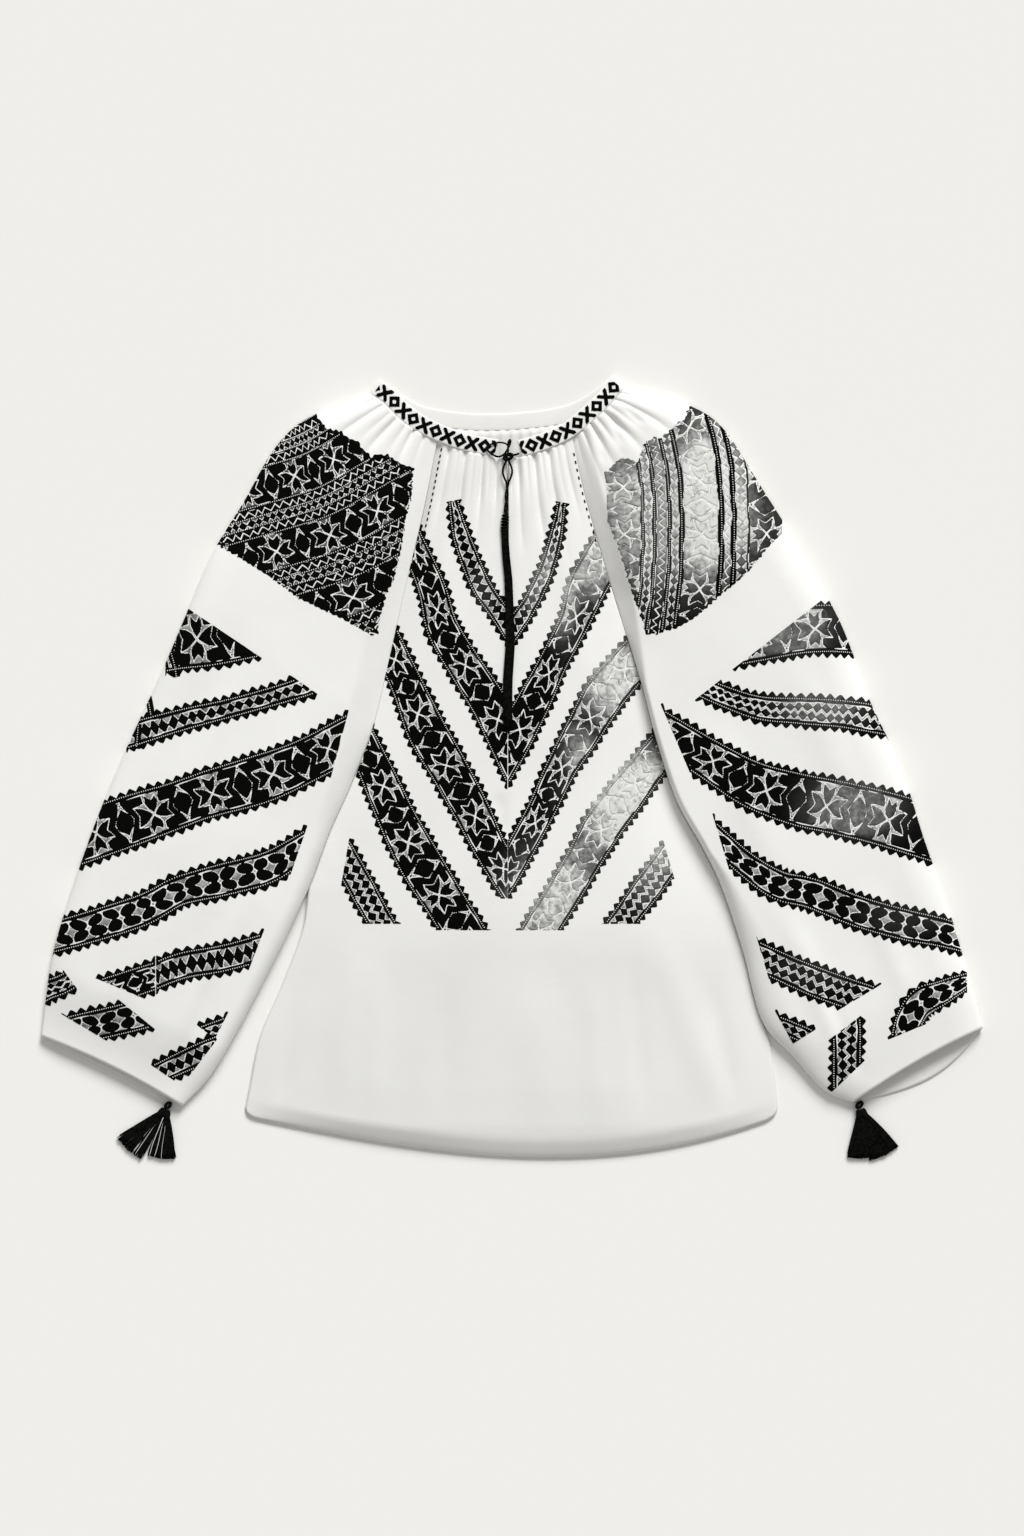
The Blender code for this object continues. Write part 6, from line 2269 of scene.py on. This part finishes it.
@dataclass
class Studio:
    """A pale floor, soft light from the neck's side and from the right, and the camera straight above."""

    distance: float = 9.0  # metres, as the next two
    frame_height: float = 1.4592
    floor_reach: float = 6.0
    sensor: float = 36.0
    room: float = 0.417  # strength of the light from all round
    key: float = 3.42
    softness: float = 26.0  # degrees
    elevation: float = 33.0
    azimuth: float = 16.0  # degrees from the neck's side towards the right

    def build(self) -> None:
        """Floor, lights, camera and a pale surround."""
        scene = bpy.context.scene
        scene.view_settings.view_transform = "Standard"
        world = bpy.data.worlds.new("pale_room")
        world.use_nodes = True
        background = world.node_tree.nodes["Background"].inputs
        background["Color"].default_value = (1.0, 0.995, 0.985, 1)
        background["Strength"].default_value = self.room
        scene.world = world
        self.floor()
        self.key_light()
        data = bpy.data.cameras.new("above")
        data.sensor_fit = "VERTICAL"
        data.sensor_height = self.sensor
        data.lens = self.sensor * self.distance / self.frame_height
        data.clip_end = 30.0
        camera = bpy.data.objects.new("above", data)
        camera.location = (0, 0, self.distance)
        scene.collection.objects.link(camera)
        scene.camera = camera

    def floor(self) -> None:
        """The floor, a wide plane."""
        mesh = bpy.data.meshes.new("floor")
        reach = self.floor_reach
        mesh.from_pydata([(-reach, -reach, 0), (reach, -reach, 0), (reach, reach, 0), (-reach, reach, 0)], [],
                         [(0, 1, 2, 3)])
        floor = bpy.data.objects.new("floor", mesh)
        bpy.context.scene.collection.objects.link(floor)
        mesh.materials.append(FloorPaint().make())

    def key_light(self) -> None:
        """A broad soft light, from the neck's side and a little from the right."""
        data = bpy.data.lights.new("key", "SUN")
        data.energy = self.key
        data.angle = math.radians(self.softness)
        lamp = bpy.data.objects.new("key", data)
        lamp.location = (1.2, 2.0, 1.9)
        lamp.rotation_euler = (math.radians(90 - self.elevation), 0, math.radians(180 - self.azimuth))
        bpy.context.scene.collection.objects.link(lamp)


@dataclass
class Blouse:
    """The whole garment: cloth, needlework, neckband, tie and cuff tassels."""

    linen: Material
    # the front's linen, painted darker below the chest bands as painted shade
    body_linen_painted_shade: Material
    # the back's linen, coloured darker all over as painted shade
    back_linen_painted_shade: Material
    thread: Material
    cord: Material
    pale: Material
    body: Body = field(default_factory=Body)

    def keep(self, piece: Piece, slot: str, *nodes: str) -> Piece:
        """Rides a piece on the garment, and lets it stand for its nodes.

        Args:
            piece: the piece.
            slot: cloth or thread; not used.
            nodes: the solids that it stands for.
        Returns:
            The same piece.
        """
        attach(piece, "root")
        if nodes:
            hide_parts(*nodes)
        log.info("%s: %d faces", piece.name, len(piece.data.polygons))
        return piece

    def build_tie(self) -> None:
        """Cords first: each runs from the band through the knot and on as the core of its long tassel."""
        tie = Tie()
        knot = self.keep(tie.build_knot(self.cord), "thread", "tie_knot")
        halves = (("right", tie.right, tie.ends[0], 3), ("left", tie.left, tie.ends[1], 4))
        for name, rows, (top_x, low_x), seed in halves:
            tassel = SlitTassel(f"tassel_tie_{name}_thread", root=(low_x, tie.low_y - SEAM), aim=(0.0, -1.0),
                                length=189.0, spread=3.4, head=(20.0, 2.3, 3.2), layers=(3.0, 2.2),
                                strands=56, pale_share=0.0, seed=seed, wander=0.35, steps=30, body=self.body)
            hung = self.keep(tassel.build(self.cord, self.pale), "thread", f"tassel_tie_{name}")
            route = rows + tie.through + tie.hanging(top_x, low_x) + tassel.core(low_x)
            piece, path = tie.build_cord(f"tie_cord_{name}_thread", route, self.cord)
            self.keep(piece, "thread", f"tie_cord_{name}", f"tie_end_{name}")

    def build_cuff_tassels(self) -> None:
        """The knot at each cuff, a cord wound three times round, and its pair of tassels."""
        for name, x, y in CUFF_KNOTS:
            a = np.linspace(0, 6 * math.pi, 150)
            z = 3.6 + 1.7 * np.sin(1.33 * a)
            path = np.column_stack([x + 2.7 * np.cos(a), y + 2.7 * np.sin(a + 0.5), z])
            points, faces = plied(path, 1.25, sides=10)
            piece = make_mesh(f"cuff_knot_{name}_thread", points, triangles_and_quads(faces), self.cord)
            self.keep(piece, "thread", f"cuff_knot_{name}")
        for seed, (name, x, y, degrees, fan, length, light) in enumerate(CUFF_TASSELS):
            aim = (math.cos(math.radians(degrees)), math.sin(math.radians(degrees)))
            tassel = Tassel(f"tassel_cuff_{name}_thread", root=(x + aim[0] * 4.8, y + aim[1] * 4.8), aim=aim,
                            length=length, spread=length * math.tan(math.radians(fan)), head=(8.0, 2.9, 6.4),
                            layers=(5.5, 3.2), strands=300, pale_share=light, seed=10 + seed)
            self.keep(tassel.build(self.cord, self.pale), "thread", f"tassel_cuff_{name}")

    def build_cloth(self) -> tuple[Sleeve, Sleeve]:
        """Front, back, both sleeves and the neckband.

        Returns:
            The right sleeve and the left one.
        """
        right = Sleeve("sleeve_right", FOLD_RIGHT, INNER_RIGHT, side=-1, front_back=0.006, back_beyond=0.002,
                       creases=CREASES_RIGHT, pleats=SLEEVE_PLEATS, flanks=FLANKS_RIGHT, droop=0.6)
        left = Sleeve("sleeve_left", FOLD_LEFT, INNER_LEFT, side=1, front_back=0.006, back_beyond=0.026,
                      creases=CREASES_LEFT, pleats=SLEEVE_PLEATS, flanks=FLANKS_LEFT, droop=0.2)
        front = self.keep(self.body.build_front(self.body_linen_painted_shade), "cloth", "front")
        back = self.keep(self.body.build_back(self.back_linen_painted_shade), "cloth", "back")
        sleeves = [self.keep(s.build(self.linen), "cloth", s.name) for s in (right, left)]
        self.keep(NeckBand().build(self.linen), "cloth", "neckband")
        return right, left

    def build_needlework(self, right: Sleeve, left: Sleeve) -> None:
        """The worked bands and panels on the front, on both sleeves and on the neckband.

        Args:
            right, left: the sleeves that carry it.
        """
        self.keep(NeckBand().build_motifs(self.thread), "thread")
        low, high = -300, 400
        chest_right = [clipped(band, (SLIT_X - clear, low, SLIT_X - clear, high))
                       for band, clear in zip(CHEST_RIGHT, CHEST_CLEAR)]
        chest_left = [clipped(band, (SLIT_X + clear, high, SLIT_X + clear, low))
                      for band, clear in zip(CHEST_LEFT, CHEST_CLEAR)]
        under_right, under_left = (*BANDS_RIGHT[:7], ALTITA_RIGHT), (*BANDS_LEFT[:5], ALTITA_LEFT)
        works = [
            Needlework("chest_right", self.body.front_place, chest_right, SHEEN_CHEST),
            Needlework("chest_left", self.body.front_place, chest_left, SHEEN_CHEST),
            Needlework("altita_right", right.top_place, [ALTITA_RIGHT], ()),
            Needlework("sleeve_right_bands", right.top_place, BANDS_RIGHT, ()),
            Needlework("altita_left", left.top_place, [ALTITA_LEFT], SHEEN_LEFT),
            Needlework("sleeve_left_bands", left.top_place, BANDS_LEFT, SHEEN_LEFT),
            Needlework("sleeve_right_under", right.low_place, under_right, (), *UNDERSIDE),
            Needlework("sleeve_left_under", left.low_place, under_left, SHEEN_LEFT, *UNDERSIDE),
            Needlework("back_bands", self.body.back_place, (*CHEST_RIGHT, *CHEST_LEFT), SHEEN_CHEST,
                       *UNDERSIDE),
        ]
        for work in works:
            for piece in work.build(self.thread, self.pale):
                self.keep(piece, "thread")
        for name, side, inside_by, first_y, last_y, pitch in SEAM_STITCHES:
            y = np.arange(last_y, first_y, pitch)
            x = self.body.edge_x(side, y) + inside_by
            places, normals, _ = self.body.front_place(x, y)
            across = np.tile((math.copysign(0.25, inside_by), 0.97), (len(y), 1))
            piece = studs(f"seam_stitches_{name}", places, normals, across, STITCH_SIZE, self.cord)
            self.keep(piece, "thread")


def main() -> None:
    """Builds the studio and the blouse."""
    logging.basicConfig(level=logging.INFO, format="%(name)s: %(message)s")
    Studio().build()
    blouse = Blouse(
        linen=Linen().make(),
        # painted shade: the front's linen turns darker below the chest bands, towards the hem
        body_linen_painted_shade=Linen(name="body_linen_painted_shade", painted_shade_light=(0.79, 0.785, 0.76),
                         painted_shade_dim=(0.755, 0.75, 0.725)).make(),
        # painted shade: the back's linen is coloured darker than the rest, for the shaded inside seen through
        # the neck
        back_linen_painted_shade=Linen(name="back_linen_painted_shade", light=(0.755, 0.75, 0.727), dim=(0.71, 0.705, 0.685)).make(),
        thread=BlackThread().make(),
        cord=BlackThread(name="black_cord", stitched=False).make(),
        pale=PaleThread().make(),
    )
    blouse.build_tie()
    right, left = blouse.build_cloth()
    blouse.build_needlework(right, left)
    blouse.build_cuff_tassels()


if __name__ == "__main__":
    main()
